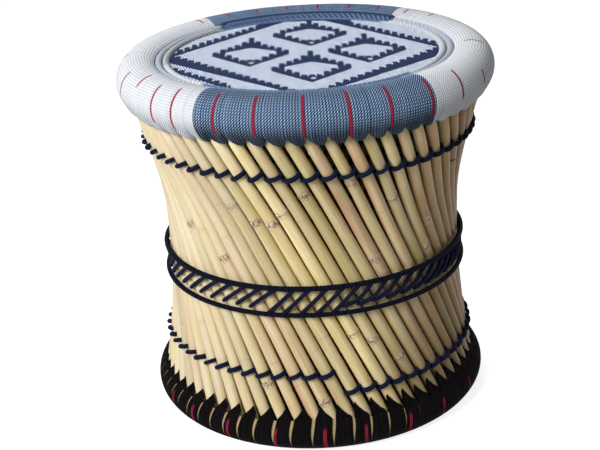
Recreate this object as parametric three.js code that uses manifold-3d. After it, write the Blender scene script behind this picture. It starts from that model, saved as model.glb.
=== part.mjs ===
// A mudda stool: two crossed layers of straight reed canes that draw in to a waist,
// a rim and a base roll wound with cord, a woven cord seat and rows of navy lashing.
// Millimetres, +Z up, origin on the floor under the middle of the seat.
import * as THREE from "three";
import { mergeVertices } from "three/addons/utils/BufferGeometryUtils.js";
import Module from "manifold-3d";

const wasm = await Module();
wasm.setup();
const degrees = Math.PI / 180;
const turn = 2 * Math.PI;

// The whole stool
const stoolHeight = 400;
const waistHeight = 188;
const fitGap = 0.3; // between pieces that touch
const wovenGap = 0.5; // between a round cane and a straight facet that passes it

// The canes
const caneCount = 60; // in each of the two layers
const bunchSize = 3; // neighbours that press together at the waist
const caneSides = 8;
const caneRadius = 7.2;
const caneSpare = 0.36; // mean gap between outer canes at the waist
const canePress = 0.3; // how deep the canes of a bunch press into each other
const caneLean = 25.4 * degrees; // from upright
const canePhase = 2.6 * degrees; // where the first outer cane stands at the waist
const caneFoot = 14; // the canes' lower ends, inside the base roll

// The rim roll and the seat
const rimCover = 18.4; // grass and cord over the canes, out to the rim roll's round
const cordSkin = 3; // one layer of wound cord
const scallopDrop = 5.5; // the cord hangs this much lower between two canes
const lipStandOff = 1.6; // the cord's edge stands off a cane's outer face
const hoopThickness = 6.8;
const seatThickness = 4;
const seatDrop = 10; // from the top of the rim down to the seat
const seatRest = 2.8; // how far the seat's edge lies over the rim's inner wall
const edgeRopeRadius = 4;
const borderRollRadius = 4;
const seamWidth = 0.3; // between two colours or halves of the wound cord

// The base roll
const baseHeight = 40.6;
const footCut = 0.5; // how much of the round roll is worn flat where it stands
const baseCover = 6.5; // cord and grass over the canes' outer and inner faces
const toothRise = 3.9; // the cord climbs above the roll between two canes
const notchDrop = 9.1; // and stays below the roll's top on a cane
const toothTip = 1.4; // thickness of the cord at the top of a tooth
const innerLipDrop = 4.1; // the roll's inner edge below its top

// The lashings
const twineRadius = 2;
const hoopCordRadius = 2.4;
const stitchRise = 4.4; // one stitch climbs this much as it crosses a cane
const upperRowDrop = 36.8; // from the rim's underside down to the upper row
const bandDrop = 18; // from the waist down to the middle of the band
const bandWidth = 30; // between the band's two hoops
const lowerRowLift = 24; // from the base roll up to where the lower row starts
const lowerRowClimb = 20; // the lower row rises this much in its one turn

// Colours and finishes
const finishes = {
  outerCane: { color: 0xd8c691, roughness: 0.55 },
  innerCane: { color: 0xbfa56d, roughness: 0.6 },
  grass: { color: 0xb59a5f, roughness: 0.9 },
  blueCord: { color: 0x55698c, roughness: 0.8 },
  whiteCord: { color: 0xe4e4e6, roughness: 0.75 },
  blackCord: { color: 0x17151a, roughness: 0.7 },
  navyCord: { color: 0x151c38, roughness: 0.75 },
  seatCord: { color: 0xa9b6cf, roughness: 0.8 },
};

// Sizes that follow from those above
const caneStep = turn / caneCount;
const bunchCount = caneCount / bunchSize;
const outerSlope = Math.tan(caneLean);
const canePitch = 2 * caneRadius + caneSpare;
const waistRadius = canePitch / Math.cos(caneLean) / caneStep; // to the outer canes' axes
const rollRadius = caneRadius + rimCover;
const rimHeight = stoolHeight - rollRadius;
const caneTop = rimHeight; // the canes' upper ends, in the middle of the rim roll
const reach = caneTop - waistHeight;

// Round a cane that slants outwards the wall measured level is thicker than square to it.
const levelGrowth = (slope, axisRadius, height) =>
  Math.hypot(1, (slope * slope * (height - waistHeight)) / axisRadius);

// The inner canes are as thick as their tighter ring allows.
const innerShare = (caneStep * Math.cos(caneLean)) / 2;
const innerCaneRadius =
  (innerShare * (waistRadius - caneRadius - fitGap) - caneSpare / 2) / (1 + innerShare);
const innerWaistRadius = waistRadius - caneRadius - fitGap - innerCaneRadius;
const outerAxis = (height) => Math.hypot(waistRadius, outerSlope * (height - waistHeight));
const topGrowth = levelGrowth(outerSlope, outerAxis(caneTop), caneTop);
const innerTopRadius =
  outerAxis(caneTop) - (caneRadius + fitGap + innerCaneRadius) * topGrowth;
const innerSlope = Math.sqrt(innerTopRadius ** 2 - innerWaistRadius ** 2) / reach;
const innerAxis = (height) =>
  Math.hypot(innerWaistRadius, innerSlope * (height - waistHeight));
const outerFace = (height) =>
  outerAxis(height) + caneRadius * levelGrowth(outerSlope, outerAxis(height), height);
const innerFace = (height) =>
  innerAxis(height) - innerCaneRadius * levelGrowth(innerSlope, innerAxis(height), height);

// Azimuth of an outer cane at a height; a whole number is a cane, a half is a gap.
const caneAzimuth = (index, height) =>
  canePhase +
  index * caneStep -
  Math.atan2(outerSlope * (height - waistHeight), waistRadius);

const rimRadius = outerAxis(caneTop);
const rimUnderside = rimHeight - rollRadius;
const lipTop = rimUnderside + scallopDrop + cordSkin;
const seatTop = stoolHeight - seatDrop;
const seatUnderside = seatTop - seatThickness;
const ledge = seatUnderside - fitGap;
const wallBottom = rimUnderside + cordSkin;
const hoopOuter = innerFace(wallBottom) - wovenGap;
const hoopInner = hoopOuter - hoopThickness;
const wallOuter = hoopInner - fitGap;
const wallInner = wallOuter - cordSkin;
const seatRadius = wallInner + seatRest;
const edgeRopeRing = seatRadius + fitGap + edgeRopeRadius;
const borderRing = edgeRopeRing + edgeRopeRadius + fitGap + borderRollRadius;
const recessRadius = borderRing + borderRollRadius + fitGap;

// A point at a radius, an azimuth and a height
const polar = (radius, azimuth, height) =>
  new THREE.Vector3(radius * Math.cos(azimuth), radius * Math.sin(azimuth), height);

// Joins rings of points into one closed skin, two rings at a time. The ring halfway
// between them may leave points out where the skin is plain. An open skin is closed by
// two caps, whose triangles come from the outline that every whole ring follows.
function skin(rings, halfRings, outline) {
  const size = rings[0].length;
  const points = [...rings.flat()];
  const index = [];
  const spans = outline ? rings.length - 1 : rings.length;
  for (let j = 0; j < spans; j += 1) {
    const here = j * size;
    const next = ((j + 1) % rings.length) * size;
    const half = rings[0].map((_, k) => {
      const point = halfRings ? halfRings[j][k] : null;
      return point ? points.push(point) - 1 : null;
    });
    for (let k = 0; k < size; k += 1) {
      const up = (k + 1) % size;
      const [a, b, c, d] = [here + k, next + k, next + up, here + up];
      const [low, high] = [half[k], half[up]];
      if (low !== null && high !== null) {
        index.push(a, low, high, a, high, d, low, b, c, low, c, high);
      } else if (low !== null) {
        index.push(a, low, d, low, c, d, low, b, c);
      } else if (high !== null) {
        index.push(a, b, high, b, c, high, a, high, d);
      } else {
        index.push(a, b, c, a, c, d);
      }
    }
  }
  if (outline) {
    const end = (rings.length - 1) * size;
    for (const [a, b, c] of THREE.ShapeUtils.triangulateShape(outline, [])) {
      index.push(a, b, c, end + a, end + c, end + b);
    }
  }
  const geometry = new THREE.BufferGeometry().setFromPoints(points);
  geometry.setIndex(index);
  geometry.computeVertexNormals();
  return geometry;
}

// A plain ring: the same outline of [radius, height] pairs at every cane
function plainRing(outline) {
  const rings = [];
  for (let k = 0; k < caneCount; k += 1) {
    const azimuth = caneAzimuth(k, caneTop);
    rings.push(outline.map(([radius, height]) => polar(radius, azimuth, height)));
  }
  return skin(rings);
}

// A regular outline for cords, counter-clockwise
function roundOutline(radius, sides) {
  const points = [];
  for (let k = 0; k < sides; k += 1) {
    const angle = (k * turn) / sides;
    points.push(new THREE.Vector2(radius * Math.cos(angle), radius * Math.sin(angle)));
  }
  return points;
}

// A cord through a list of points that goes round the stool, closed on itself or capped
function cord(points, radius, sides, closed) {
  const outline = roundOutline(radius, sides);
  const count = points.length;
  const rings = points.map((point, j) => {
    const before = points[closed ? (j + count - 1) % count : Math.max(j - 1, 0)];
    const after = points[closed ? (j + 1) % count : Math.min(j + 1, count - 1)];
    const along = after.clone().sub(before).normalize();
    const outward = new THREE.Vector3(point.x, point.y, 0);
    outward.addScaledVector(along, -outward.dot(along)).normalize();
    const upward = outward.clone().cross(along);
    return outline.map(({ x, y }) =>
      point.clone().addScaledVector(outward, x).addScaledVector(upward, y),
    );
  });
  return skin(rings, null, closed ? null : outline);
}

// Solids for joining, and back
function solidOf(geometry) {
  const bare = new THREE.BufferGeometry();
  bare.setAttribute("position", geometry.getAttribute("position"));
  bare.setIndex(geometry.getIndex());
  const merged = mergeVertices(bare);
  return new wasm.Manifold(
    new wasm.Mesh({
      numProp: 3,
      vertProperties: new Float32Array(merged.getAttribute("position").array),
      triVerts: new Uint32Array(merged.getIndex().array),
    }),
  );
}

function geometryOf(solid) {
  const mesh = solid.getMesh();
  const geometry = new THREE.BufferGeometry();
  geometry.setAttribute("position", new THREE.BufferAttribute(mesh.vertProperties, 3));
  geometry.setIndex(new THREE.BufferAttribute(mesh.triVerts, 1));
  geometry.computeVertexNormals();
  return geometry;
}

const joined = (geometries) =>
  geometryOf(geometries.map(solidOf).reduce((whole, piece) => whole.add(piece)));

const stool = new THREE.Group();

function addPiece(name, geometry, finish) {
  const material = new THREE.MeshStandardMaterial({ ...finishes[finish], metalness: 0 });
  const mesh = new THREE.Mesh(geometry, material);
  mesh.name = name;
  stool.add(mesh);
  return mesh;
}

// One cane: a prism that leans along its ring, with level ends. Its level section is
// wider along the ring, so that it is round square to its own axis.
function cane(azimuth, axisRadius, radius, slope) {
  const length = caneTop - caneFoot;
  const outward = polar(1, azimuth, 0);
  const around = polar(1, azimuth + turn / 4, 0);
  const along = around.clone().multiplyScalar(-slope);
  along.z = 1;
  const middle = (caneTop + caneFoot) / 2;
  const centre = outward.clone().multiplyScalar(axisRadius);
  centre.addScaledVector(along, middle - waistHeight);
  centre.z = middle;
  const placing = new THREE.Matrix4().makeBasis(
    outward,
    along,
    around.multiplyScalar(-Math.hypot(1, slope)),
  );
  placing.setPosition(centre);
  const prism = new THREE.CylinderGeometry(radius, radius, length, caneSides);
  return prism.applyMatrix4(placing);
}

// A bunch of neighbours that press together where the layer is tightest
function caneBunch(axisRadius, radius, slope) {
  const spacing = (2 * radius - canePress) * Math.hypot(1, slope);
  const step = 2 * Math.asin(spacing / (2 * axisRadius));
  const canes = [];
  for (let k = 0; k < bunchSize; k += 1) {
    canes.push(cane((k - (bunchSize - 1) / 2) * step, axisRadius, radius, slope));
  }
  return joined(canes);
}

// The two layers lean opposite ways round the stool.
function addCanes() {
  const outerBunch = caneBunch(waistRadius, caneRadius, outerSlope);
  const innerBunch = caneBunch(innerWaistRadius, innerCaneRadius, -innerSlope);
  for (let k = 0; k < bunchCount; k += 1) {
    const number = String(k + 1).padStart(2, "0");
    const azimuth = canePhase + (k * turn) / bunchCount;
    addPiece("outer_canes_" + number, outerBunch, "outerCane").rotation.z = azimuth;
    addPiece("inner_canes_" + number, innerBunch, "innerCane").rotation.z = azimuth;
  }
}

// A point on the rim roll's round section, at an angle up from its outer side
const onRoll = (radius, angle) => [
  rimRadius + radius * Math.cos(angle),
  rimHeight + radius * Math.sin(angle),
];
const angleAtHeight = (radius, height) => Math.asin((height - rimHeight) / radius);
const angleAtRadius = (radius, ringRadius) => Math.acos((ringRadius - rimRadius) / radius);

// How far outside the canes' axes a straight facet must stay in the gap between two
// canes, when it starts above a cane and clears both: the tangent from its start.
function valleyRise(startSide, startRise, axisRadius, clearRadius) {
  const leanHere = (outerSlope * waistRadius) / axisRadius;
  const halfPitch = (axisRadius * caneStep) / 2 / Math.hypot(1, leanHere);
  const distance = Math.hypot(startSide, startRise);
  const fall = Math.atan2(startSide, startRise) + Math.acos(clearRadius / distance);
  return startRise - (halfPitch - startSide) * Math.tan(fall);
}

const crestRise = caneRadius + lipStandOff;
const clearOfCane = caneRadius + 2 * wovenGap;
const arcSteps = 6;
const coreAngles = [85, 42, 0].map((angle) => angle * degrees);

// The wound cord of the rim in a gap between canes: a skin over the grass, with a recess
// for the seat's borders and an inner wall. Its lower edge hangs down into the gap.
function rimGapOutline() {
  const inside = rollRadius - cordSkin;
  const recessInside = recessRadius + cordSkin;
  const lowest = -78 * degrees;
  const arcStep = (angleAtRadius(rollRadius, recessRadius) - lowest) / arcSteps;
  const arc = [];
  for (let k = 0; k <= arcSteps; k += 1) {
    arc.push(onRoll(rollRadius, lowest + k * arcStep));
  }
  const axis = outerAxis(rimUnderside);
  const rise = valleyRise(0, crestRise, axis, clearOfCane);
  return [
    ...arc,
    [recessRadius, ledge],
    [wallInner, ledge],
    [wallInner, wallBottom],
    [wallOuter, wallBottom],
    [wallOuter, ledge - cordSkin],
    [recessInside, ledge - cordSkin],
    onRoll(inside, angleAtRadius(inside, recessInside)),
    ...coreAngles.map((angle) => onRoll(inside, angle)),
    onRoll(inside, angleAtHeight(inside, lipTop)),
    [outerAxis(lipTop) + rise, lipTop],
    [axis + rise, rimUnderside],
  ];
}

// Over a cane only the lower edge differs: it lies higher, in front of the cane's face.
function rimCrestOutline() {
  const lipBottom = lipTop - cordSkin;
  const outline = rimGapOutline().map(() => null);
  outline[0] = onRoll(rollRadius, angleAtHeight(rollRadius, lipBottom));
  outline[outline.length - 2] = [outerAxis(lipTop) + crestRise, lipTop];
  outline[outline.length - 1] = [outerAxis(lipBottom) + crestRise, lipBottom];
  return outline;
}

// Wound cord from one gap between canes to another. It follows the canes' twist round
// the stool up to a height, and stands square above that.
function wound(gapOutline, crestOutline, firstGap, canes, twistTop) {
  const place = (outline, station, seam) =>
    outline.map((point) => {
      if (point === null) return null;
      const [radius, height] = point;
      const azimuth = caneAzimuth(station, Math.min(height, twistTop));
      return polar(radius, azimuth + seam / radius, height);
    });
  const rings = [];
  const halfRings = [];
  for (let k = 0; k <= canes; k += 1) {
    const seam = k === 0 ? seamWidth / 2 : k === canes ? -seamWidth / 2 : 0;
    rings.push(place(gapOutline, firstGap + k, seam));
    halfRings.push(place(crestOutline, firstGap + k + 0.5, 0));
  }
  return skin(
    rings,
    halfRings,
    gapOutline.map(([radius, height]) => new THREE.Vector2(radius, height)),
  );
}

const firstSeam = -16.5; // the gap where the front's blue starts, counted in canes
const rimColours = [
  { side: "front_blue", share: 0.2, finish: "blueCord" },
  { side: "right_white", share: 0.2833, finish: "whiteCord" },
  { side: "back_blue", share: 0.2167, finish: "blueCord" },
  { side: "left_white", share: 0.3, finish: "whiteCord" },
];

// Seams between colours, as gaps counted in canes
function seamsOf(colours) {
  const seams = [firstSeam];
  let share = 0;
  for (const colour of colours) {
    share += colour.share;
    seams.push(firstSeam + Math.round(share * caneCount));
  }
  return seams;
}

function addRim() {
  const grassRadius = rollRadius - cordSkin - fitGap;
  const recessGrass = recessRadius + cordSkin + fitGap;
  const grassTop = ledge - cordSkin - fitGap;
  const crownBottom = caneTop + fitGap;
  const crownInner = hoopOuter + fitGap;
  addPiece(
    "rim_crown_bundle",
    plainRing([
      [crownInner, crownBottom],
      onRoll(grassRadius, angleAtHeight(grassRadius, crownBottom)),
      onRoll(grassRadius, coreAngles[1]),
      onRoll(grassRadius, coreAngles[0]),
      onRoll(grassRadius, angleAtRadius(grassRadius, recessGrass)),
      [recessGrass, grassTop],
      [crownInner, grassTop],
    ]),
    "grass",
  );
  const skirtBottom = lipTop + fitGap;
  const skirtTop = caneTop - fitGap;
  addPiece(
    "rim_outer_bundle",
    plainRing([
      [outerFace(skirtBottom) + wovenGap, skirtBottom],
      onRoll(grassRadius, angleAtHeight(grassRadius, skirtBottom)),
      onRoll(grassRadius, angleAtHeight(grassRadius, skirtTop)),
      [outerFace(skirtTop) + wovenGap, skirtTop],
    ]),
    "grass",
  );
  addPiece(
    "rim_inner_hoop",
    plainRing([
      [hoopInner, wallBottom],
      [hoopOuter, wallBottom],
      [hoopOuter, grassTop],
      [hoopInner, grassTop],
    ]),
    "innerCane",
  );
  const seams = seamsOf(rimColours);
  rimColours.forEach(({ side, finish }, k) => {
    const canes = seams[k + 1] - seams[k];
    const wrap = wound(rimGapOutline(), rimCrestOutline(), seams[k], canes, lipTop);
    addPiece("rim_wrap_" + side, wrap, finish);
  });
}

// A cord laid level round the whole stool, or from one seam to the next
function levelCord(ringRadius, height, radius, sides, from, to) {
  const outline = roundOutline(radius, sides);
  const closed = from === undefined;
  const first = closed ? 0 : from;
  const last = closed ? caneCount - 1 : to;
  const rings = [];
  for (let k = first; k <= last; k += 1) {
    const seam = closed ? 0 : k === first ? seamWidth / 2 : k === last ? -seamWidth / 2 : 0;
    const azimuth = caneAzimuth(k, caneTop);
    rings.push(
      outline.map(({ x, y }) =>
        polar(ringRadius + x, azimuth + seam / (ringRadius + x), height + y),
      ),
    );
  }
  return skin(rings, null, closed ? null : outline);
}

const ropeSides = 5;

function addSeat() {
  const panel = new THREE.CylinderGeometry(seatRadius, seatRadius, seatThickness, caneCount);
  panel.rotateX(turn / 4);
  panel.rotateZ(caneAzimuth(0, caneTop));
  addPiece("seat_panel", panel, "seatCord").position.z = (seatTop + seatUnderside) / 2;
  const ropeHeight = ledge + fitGap + edgeRopeRadius;
  const edgeRope = levelCord(edgeRopeRing, ropeHeight, edgeRopeRadius, ropeSides);
  addPiece("seat_edge_rope", edgeRope, "seatCord");
  const borderHeight = ledge + fitGap + borderRollRadius;
  const seams = seamsOf(rimColours);
  rimColours.forEach(({ side, finish }, k) => {
    const roll = levelCord(
      borderRing,
      borderHeight,
      borderRollRadius,
      ropeSides,
      seams[k],
      seams[k + 1],
    );
    addPiece("seat_border_" + side, roll, finish);
  });
}

// The wound cord of the base roll: a trough in two halves that holds the canes' feet. Its
// outer edge climbs in a tooth between two canes and is notched on each cane.
const baseHalf = baseHeight / 2;
const baseMiddle = baseHalf - footCut;
const baseTop = baseMiddle + baseHalf;
const baseRadius = (outerFace(baseMiddle) + innerFace(baseMiddle)) / 2;
const baseHalfWidth = (outerFace(baseMiddle) - innerFace(baseMiddle)) / 2 + baseCover;
const footHalfWidth = baseHalfWidth * Math.sqrt(1 - (baseMiddle / baseHalf) ** 2);
const coreTop = caneFoot - fitGap;

// A point on the base roll's section, at an angle up from its outer side, or inside it
const onBase = (angle, inside = 0) => [
  baseRadius + (baseHalfWidth - inside) * Math.cos(angle),
  baseMiddle + (baseHalf - inside) * Math.sin(angle),
];
const troughAngles = [-60, -120].map((angle) => angle * degrees);
const outerAngles = [-55, -15, 20].map((angle) => angle * degrees);
const innerAngles = [195, 235].map((angle) => angle * degrees);

function baseGapOutline() {
  const lip = baseTop + toothRise;
  const inside = outerAxis(lip) + valleyRise(0, crestRise, outerAxis(lip), clearOfCane);
  const innerLip = baseTop - innerLipDrop;
  const innerLipFace = innerFace(innerLip) - wovenGap;
  return [
    [inside + toothTip, lip],
    [inside, lip],
    [outerFace(caneFoot) + wovenGap, coreTop],
    ...troughAngles.map((angle) => onBase(angle, cordSkin)),
    [innerFace(caneFoot) - wovenGap, coreTop],
    [innerLipFace, innerLip],
    [innerLipFace - cordSkin, innerLip],
    ...innerAngles.map((angle) => onBase(angle)),
    [baseRadius - footHalfWidth, 0],
    [baseRadius + footHalfWidth, 0],
    ...outerAngles.map((angle) => onBase(angle)),
  ];
}

function baseCrestOutline() {
  const lip = baseTop - notchDrop;
  const outline = baseGapOutline().map(() => null);
  outline[0] = onBase(Math.asin((lip - baseMiddle) / baseHalf));
  outline[1] = [outerAxis(lip) + crestRise, lip];
  return outline;
}

const firstBaseSeam = -35.5; // the gap at the left where the front half starts

function addBase() {
  const half = caneCount / 2;
  ["front", "back"].forEach((side, k) => {
    const firstGap = firstBaseSeam + k * half;
    const wrap = wound(baseGapOutline(), baseCrestOutline(), firstGap, half, baseTop);
    addPiece("base_wrap_" + side, wrap, "blackCord");
  });
  addPiece(
    "base_grass_core",
    plainRing([
      ...troughAngles.map((angle) => onBase(angle, cordSkin + fitGap)).reverse(),
      [outerFace(caneFoot) - fitGap, coreTop],
      [innerFace(caneFoot) + fitGap, coreTop],
    ]),
    "grass",
  );
}

// A row of stitches, one over each cane from lower left to upper right, that dips into
// each gap. A row that climbs is open and starts and ends in the same gap.
const twineSides = 4;
const hoopSides = 5;
const crestShare = 1 / 6; // of a cane's pitch, to each side of its middle

function stitchRow(firstGap, height, climb) {
  const closed = climb === 0;
  const clear = caneRadius + twineRadius + wovenGap;
  const crest = clear + fitGap / 2;
  const heightAt = (station) => height + (climb * (station - firstGap)) / caneCount;
  const place = (station, rise, offset) => {
    const level = heightAt(station) + offset;
    return polar(outerAxis(level) + rise, caneAzimuth(station, level), level);
  };
  const dip = (gap) => {
    const axis = outerAxis(heightAt(gap));
    const side = crestShare * axis * caneStep;
    return place(gap, valleyRise(side, crest, axis, clear), 0);
  };
  const points = [];
  for (let gap = firstGap; gap < firstGap + caneCount; gap += 1) {
    points.push(dip(gap));
    points.push(place(gap + 0.5 - crestShare, crest, -stitchRise / 2));
    points.push(place(gap + 0.5 + crestShare, crest, stitchRise / 2));
  }
  if (!closed) points.push(dip(firstGap + caneCount));
  return { points, closed };
}

// The least gap between the start of an open row and its end, which passes above it
function leastGapToItself(points) {
  const half = points.length / 2;
  const nearest = new THREE.Vector3();
  let least = Infinity;
  for (let k = 0; k < half; k += 1) {
    for (let j = Math.ceil(k + half); j < points.length - 1; j += 1) {
      new THREE.Line3(points[j], points[j + 1]).closestPointToPoint(points[k], true, nearest);
      least = Math.min(least, nearest.distanceTo(points[k]) - 2 * twineRadius);
    }
  }
  return least;
}

function addStitches(name, row) {
  addPiece(name, cord(row.points, twineRadius, twineSides, row.closed), "navyCord");
}

// The band at the waist: two hoops with a slanting strand over every two canes. The
// strands grow from the lower hoop and end just under the upper one.
const strandSpan = 2; // canes that one strand crosses
const bandMiddle = waistHeight - bandDrop;
const bandTop = bandMiddle + bandWidth / 2;
const bandBottom = bandMiddle - bandWidth / 2;
const hoopRing = (height) => outerAxis(height) + caneRadius + fitGap + hoopCordRadius;

function strand(gap) {
  const low = polar(hoopRing(bandBottom), caneAzimuth(gap, bandBottom), bandBottom);
  const high = polar(hoopRing(bandTop), caneAzimuth(gap + strandSpan, bandTop), bandTop);
  const along = high.clone().sub(low);
  const climb = along.z / along.length();
  const spare = (hoopCordRadius + twineRadius + fitGap) / climb;
  const length = along.length() - spare;
  along.normalize();
  const rod = new THREE.CylinderGeometry(twineRadius, twineRadius, length, twineSides);
  rod.applyQuaternion(
    new THREE.Quaternion().setFromUnitVectors(new THREE.Vector3(0, 1, 0), along),
  );
  const middle = low.clone().addScaledVector(along, length / 2);
  return rod.translate(middle.x, middle.y, middle.z);
}

function addLashings() {
  addStitches("upper_twine", stitchRow(0.5, rimUnderside - upperRowDrop, 0));
  const lowerRow = stitchRow(firstSeam, baseTop + lowerRowLift, lowerRowClimb);
  addStitches("lower_twine", lowerRow);
  const gap = leastGapToItself(lowerRow.points).toFixed(1);
  console.log("lower_twine: least gap to itself " + gap + " mm");
  const topHoop = levelCord(hoopRing(bandTop), bandTop, hoopCordRadius, hoopSides);
  addPiece("band_upper_hoop", topHoop, "navyCord");
  const lacing = [levelCord(hoopRing(bandBottom), bandBottom, hoopCordRadius, hoopSides)];
  for (let k = 0; k < caneCount; k += 1) {
    lacing.push(strand(k + 0.5));
  }
  addPiece("band_lower_hoop_lacing", joined(lacing), "navyCord");
}

addCanes();
addRim();
addSeat();
addBase();
addLashings();

export default stool;
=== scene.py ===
import functools
import math
import bpy
import numpy as np
from mathutils import Matrix, Vector


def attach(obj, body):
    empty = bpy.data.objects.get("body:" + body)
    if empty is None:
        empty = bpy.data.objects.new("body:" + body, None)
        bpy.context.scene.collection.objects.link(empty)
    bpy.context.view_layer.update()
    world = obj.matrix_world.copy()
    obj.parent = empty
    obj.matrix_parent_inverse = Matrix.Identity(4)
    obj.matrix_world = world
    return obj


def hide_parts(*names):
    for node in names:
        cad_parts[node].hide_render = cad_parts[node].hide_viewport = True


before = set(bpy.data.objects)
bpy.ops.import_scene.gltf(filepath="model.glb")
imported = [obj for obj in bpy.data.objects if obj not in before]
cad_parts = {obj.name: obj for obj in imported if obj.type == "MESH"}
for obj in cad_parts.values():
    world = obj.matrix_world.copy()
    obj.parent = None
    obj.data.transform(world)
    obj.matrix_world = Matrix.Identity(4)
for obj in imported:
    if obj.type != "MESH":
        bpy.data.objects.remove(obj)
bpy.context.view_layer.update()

# A mudda stool of reed canes wound with cotton cord. Sizes are in millimetres and
# become metres when a mesh is made. Azimuth 0 is +X and the front is -90 degrees.
stool = {
    "stoolHeight": 400.0, "waistHeight": 188.0, "caneCount": 60, "caneRadius": 7.2,
    "caneSpare": 0.36, "fitGap": 0.3,  # room between neighbours, and between both layers
    "caneLean": 25.4,  # degrees from upright
    "canePhase": 2.6,  # degrees, where the first outer cane stands at the waist
    "sizeHeights": [14, 70, 130, 188, 240, 300, 374],
    "sizeShares": [0.93, 0.93, 0.95, 0.975, 0.935, 0.895, 0.88],  # of caneRadius there
    "flare": 9.0, "flareFoot": 238.0, "flareTop": 350.0, "flareBack": 354.0, "flareEnd": 366.0,
    "rollRadius": 25.6,  # of the rim
    "lipTop": 357.3,  # the rim's cord follows the canes' twist below this height
    "recessRadius": 162.3, "ledge": 385.7,
    "wallInner": 142.8, "wallOuter": 145.8, "wallBottom": 351.8,
    "baseRadius": 168.52, "baseHalfWidth": 20.65, "baseHalf": 20.3, "baseMiddle": 19.8,
}
turn = 2 * math.pi
caneCount = stool["caneCount"]
caneStep = turn / caneCount
canePhase = math.radians(stool["canePhase"])
leanCos = math.cos(math.radians(stool["caneLean"]))
outerSlope = math.tan(math.radians(stool["caneLean"]))
waistRadius = (2 * stool["caneRadius"] + stool["caneSpare"]) / leanCos / caneStep
rimHeight = stool["stoolHeight"] - stool["rollRadius"]
innerShare = caneStep * leanCos / 2
innerCaneRadius = (
    innerShare * (waistRadius - stool["caneRadius"] - stool["fitGap"]) - stool["caneSpare"] / 2
) / (1 + innerShare)
innerWaistRadius = waistRadius - stool["caneRadius"] - stool["fitGap"] - innerCaneRadius


def outerAxis(height):
    # radius of the ring of cane axes: the hypotenuse of the waist's radius and the lean
    return np.hypot(waistRadius, outerSlope * (height - stool["waistHeight"]))


rimRadius = float(outerAxis(rimHeight))
topGrowth = math.hypot(1, outerSlope**2 * (rimHeight - stool["waistHeight"]) / rimRadius)
innerTop = rimRadius - (stool["caneRadius"] + stool["fitGap"] + innerCaneRadius) * topGrowth
innerSlope = math.sqrt(innerTop**2 - innerWaistRadius**2) / (rimHeight - stool["waistHeight"])


def smoothStep(value):
    # 3x^2 - 2x^3 between 0 and 1, flat outside
    value = np.clip(value, 0, 1)
    return value * value * (3 - 2 * value)


def caneFlare(height):
    # the canes are pulled outward under the rim and are back in line inside it
    rise = smoothStep((height - stool["flareFoot"]) / (stool["flareTop"] - stool["flareFoot"]))
    back = smoothStep((height - stool["flareBack"]) / (stool["flareEnd"] - stool["flareBack"]))
    return stool["flare"] * rise * (1 - back)


def caneSize(height):
    # a cane's radius: thickest under the band, where neighbours touch, thinner to its ends
    return stool["caneRadius"] * np.interp(height, stool["sizeHeights"], stool["sizeShares"])


def caneTwist(height):
    # how far round the stool a leaning cane has run since the waist
    return np.arctan2(outerSlope * (height - stool["waistHeight"]), waistRadius)


def caneAzimuth(station, height):
    # azimuth of a cane (whole station) or gap (half) = phase + station x 6 degrees - twist
    return canePhase + station * caneStep - caneTwist(height)


def stationAt(azimuth, height):
    # the inverse of caneAzimuth, for an azimuth in degrees
    return (np.radians(azimuth) - canePhase + caneTwist(height)) / caneStep


def polar(radius, azimuth, height):
    # x = r cos a, y = r sin a, z = height, as one array of points
    radius, azimuth, height = np.broadcast_arrays(radius, azimuth, height)
    return np.stack([radius * np.cos(azimuth), radius * np.sin(azimuth), height], axis=-1)


def seeded(number):
    return np.random.default_rng(number)


# meshes
def makeObject(name, points, faces, cornerUv, values=None, faceValues=None, flat=0):
    # faces is a list of index arrays, one array per polygon size, and cornerUv follows it
    mesh = bpy.data.meshes.new(name)
    loops = np.concatenate([block.ravel() for block in faces]).astype(np.int32)
    sizes = np.concatenate([np.full(len(block), block.shape[1]) for block in faces])
    starts = np.concatenate([[0], np.cumsum(sizes)[:-1]]).astype(np.int32)
    mesh.vertices.add(len(points))
    mesh.vertices.foreach_set("co", (points * 0.001).astype(np.float32).ravel())
    mesh.loops.add(len(loops))
    mesh.loops.foreach_set("vertex_index", loops)
    mesh.polygons.add(len(sizes))
    mesh.polygons.foreach_set("loop_start", starts)
    smooth = np.ones(len(sizes), dtype=bool)
    if flat:
        smooth[-flat:] = False
    mesh.update(calc_edges=True)
    mesh.polygons.foreach_set("use_smooth", smooth)
    layer = mesh.uv_layers.new(name="cordMap")
    layer.data.foreach_set("uv", cornerUv.astype(np.float32).ravel())
    for domain, table in (("POINT", values), ("FACE", faceValues)):
        for key, value in (table or {}).items():
            spot = mesh.attributes.new(key, "FLOAT", domain)
            spot.data.foreach_set("value", value.astype(np.float32).ravel())
    mesh.update()
    piece = bpy.data.objects.new(name, mesh)
    bpy.context.scene.collection.objects.link(piece)
    return piece


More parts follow.
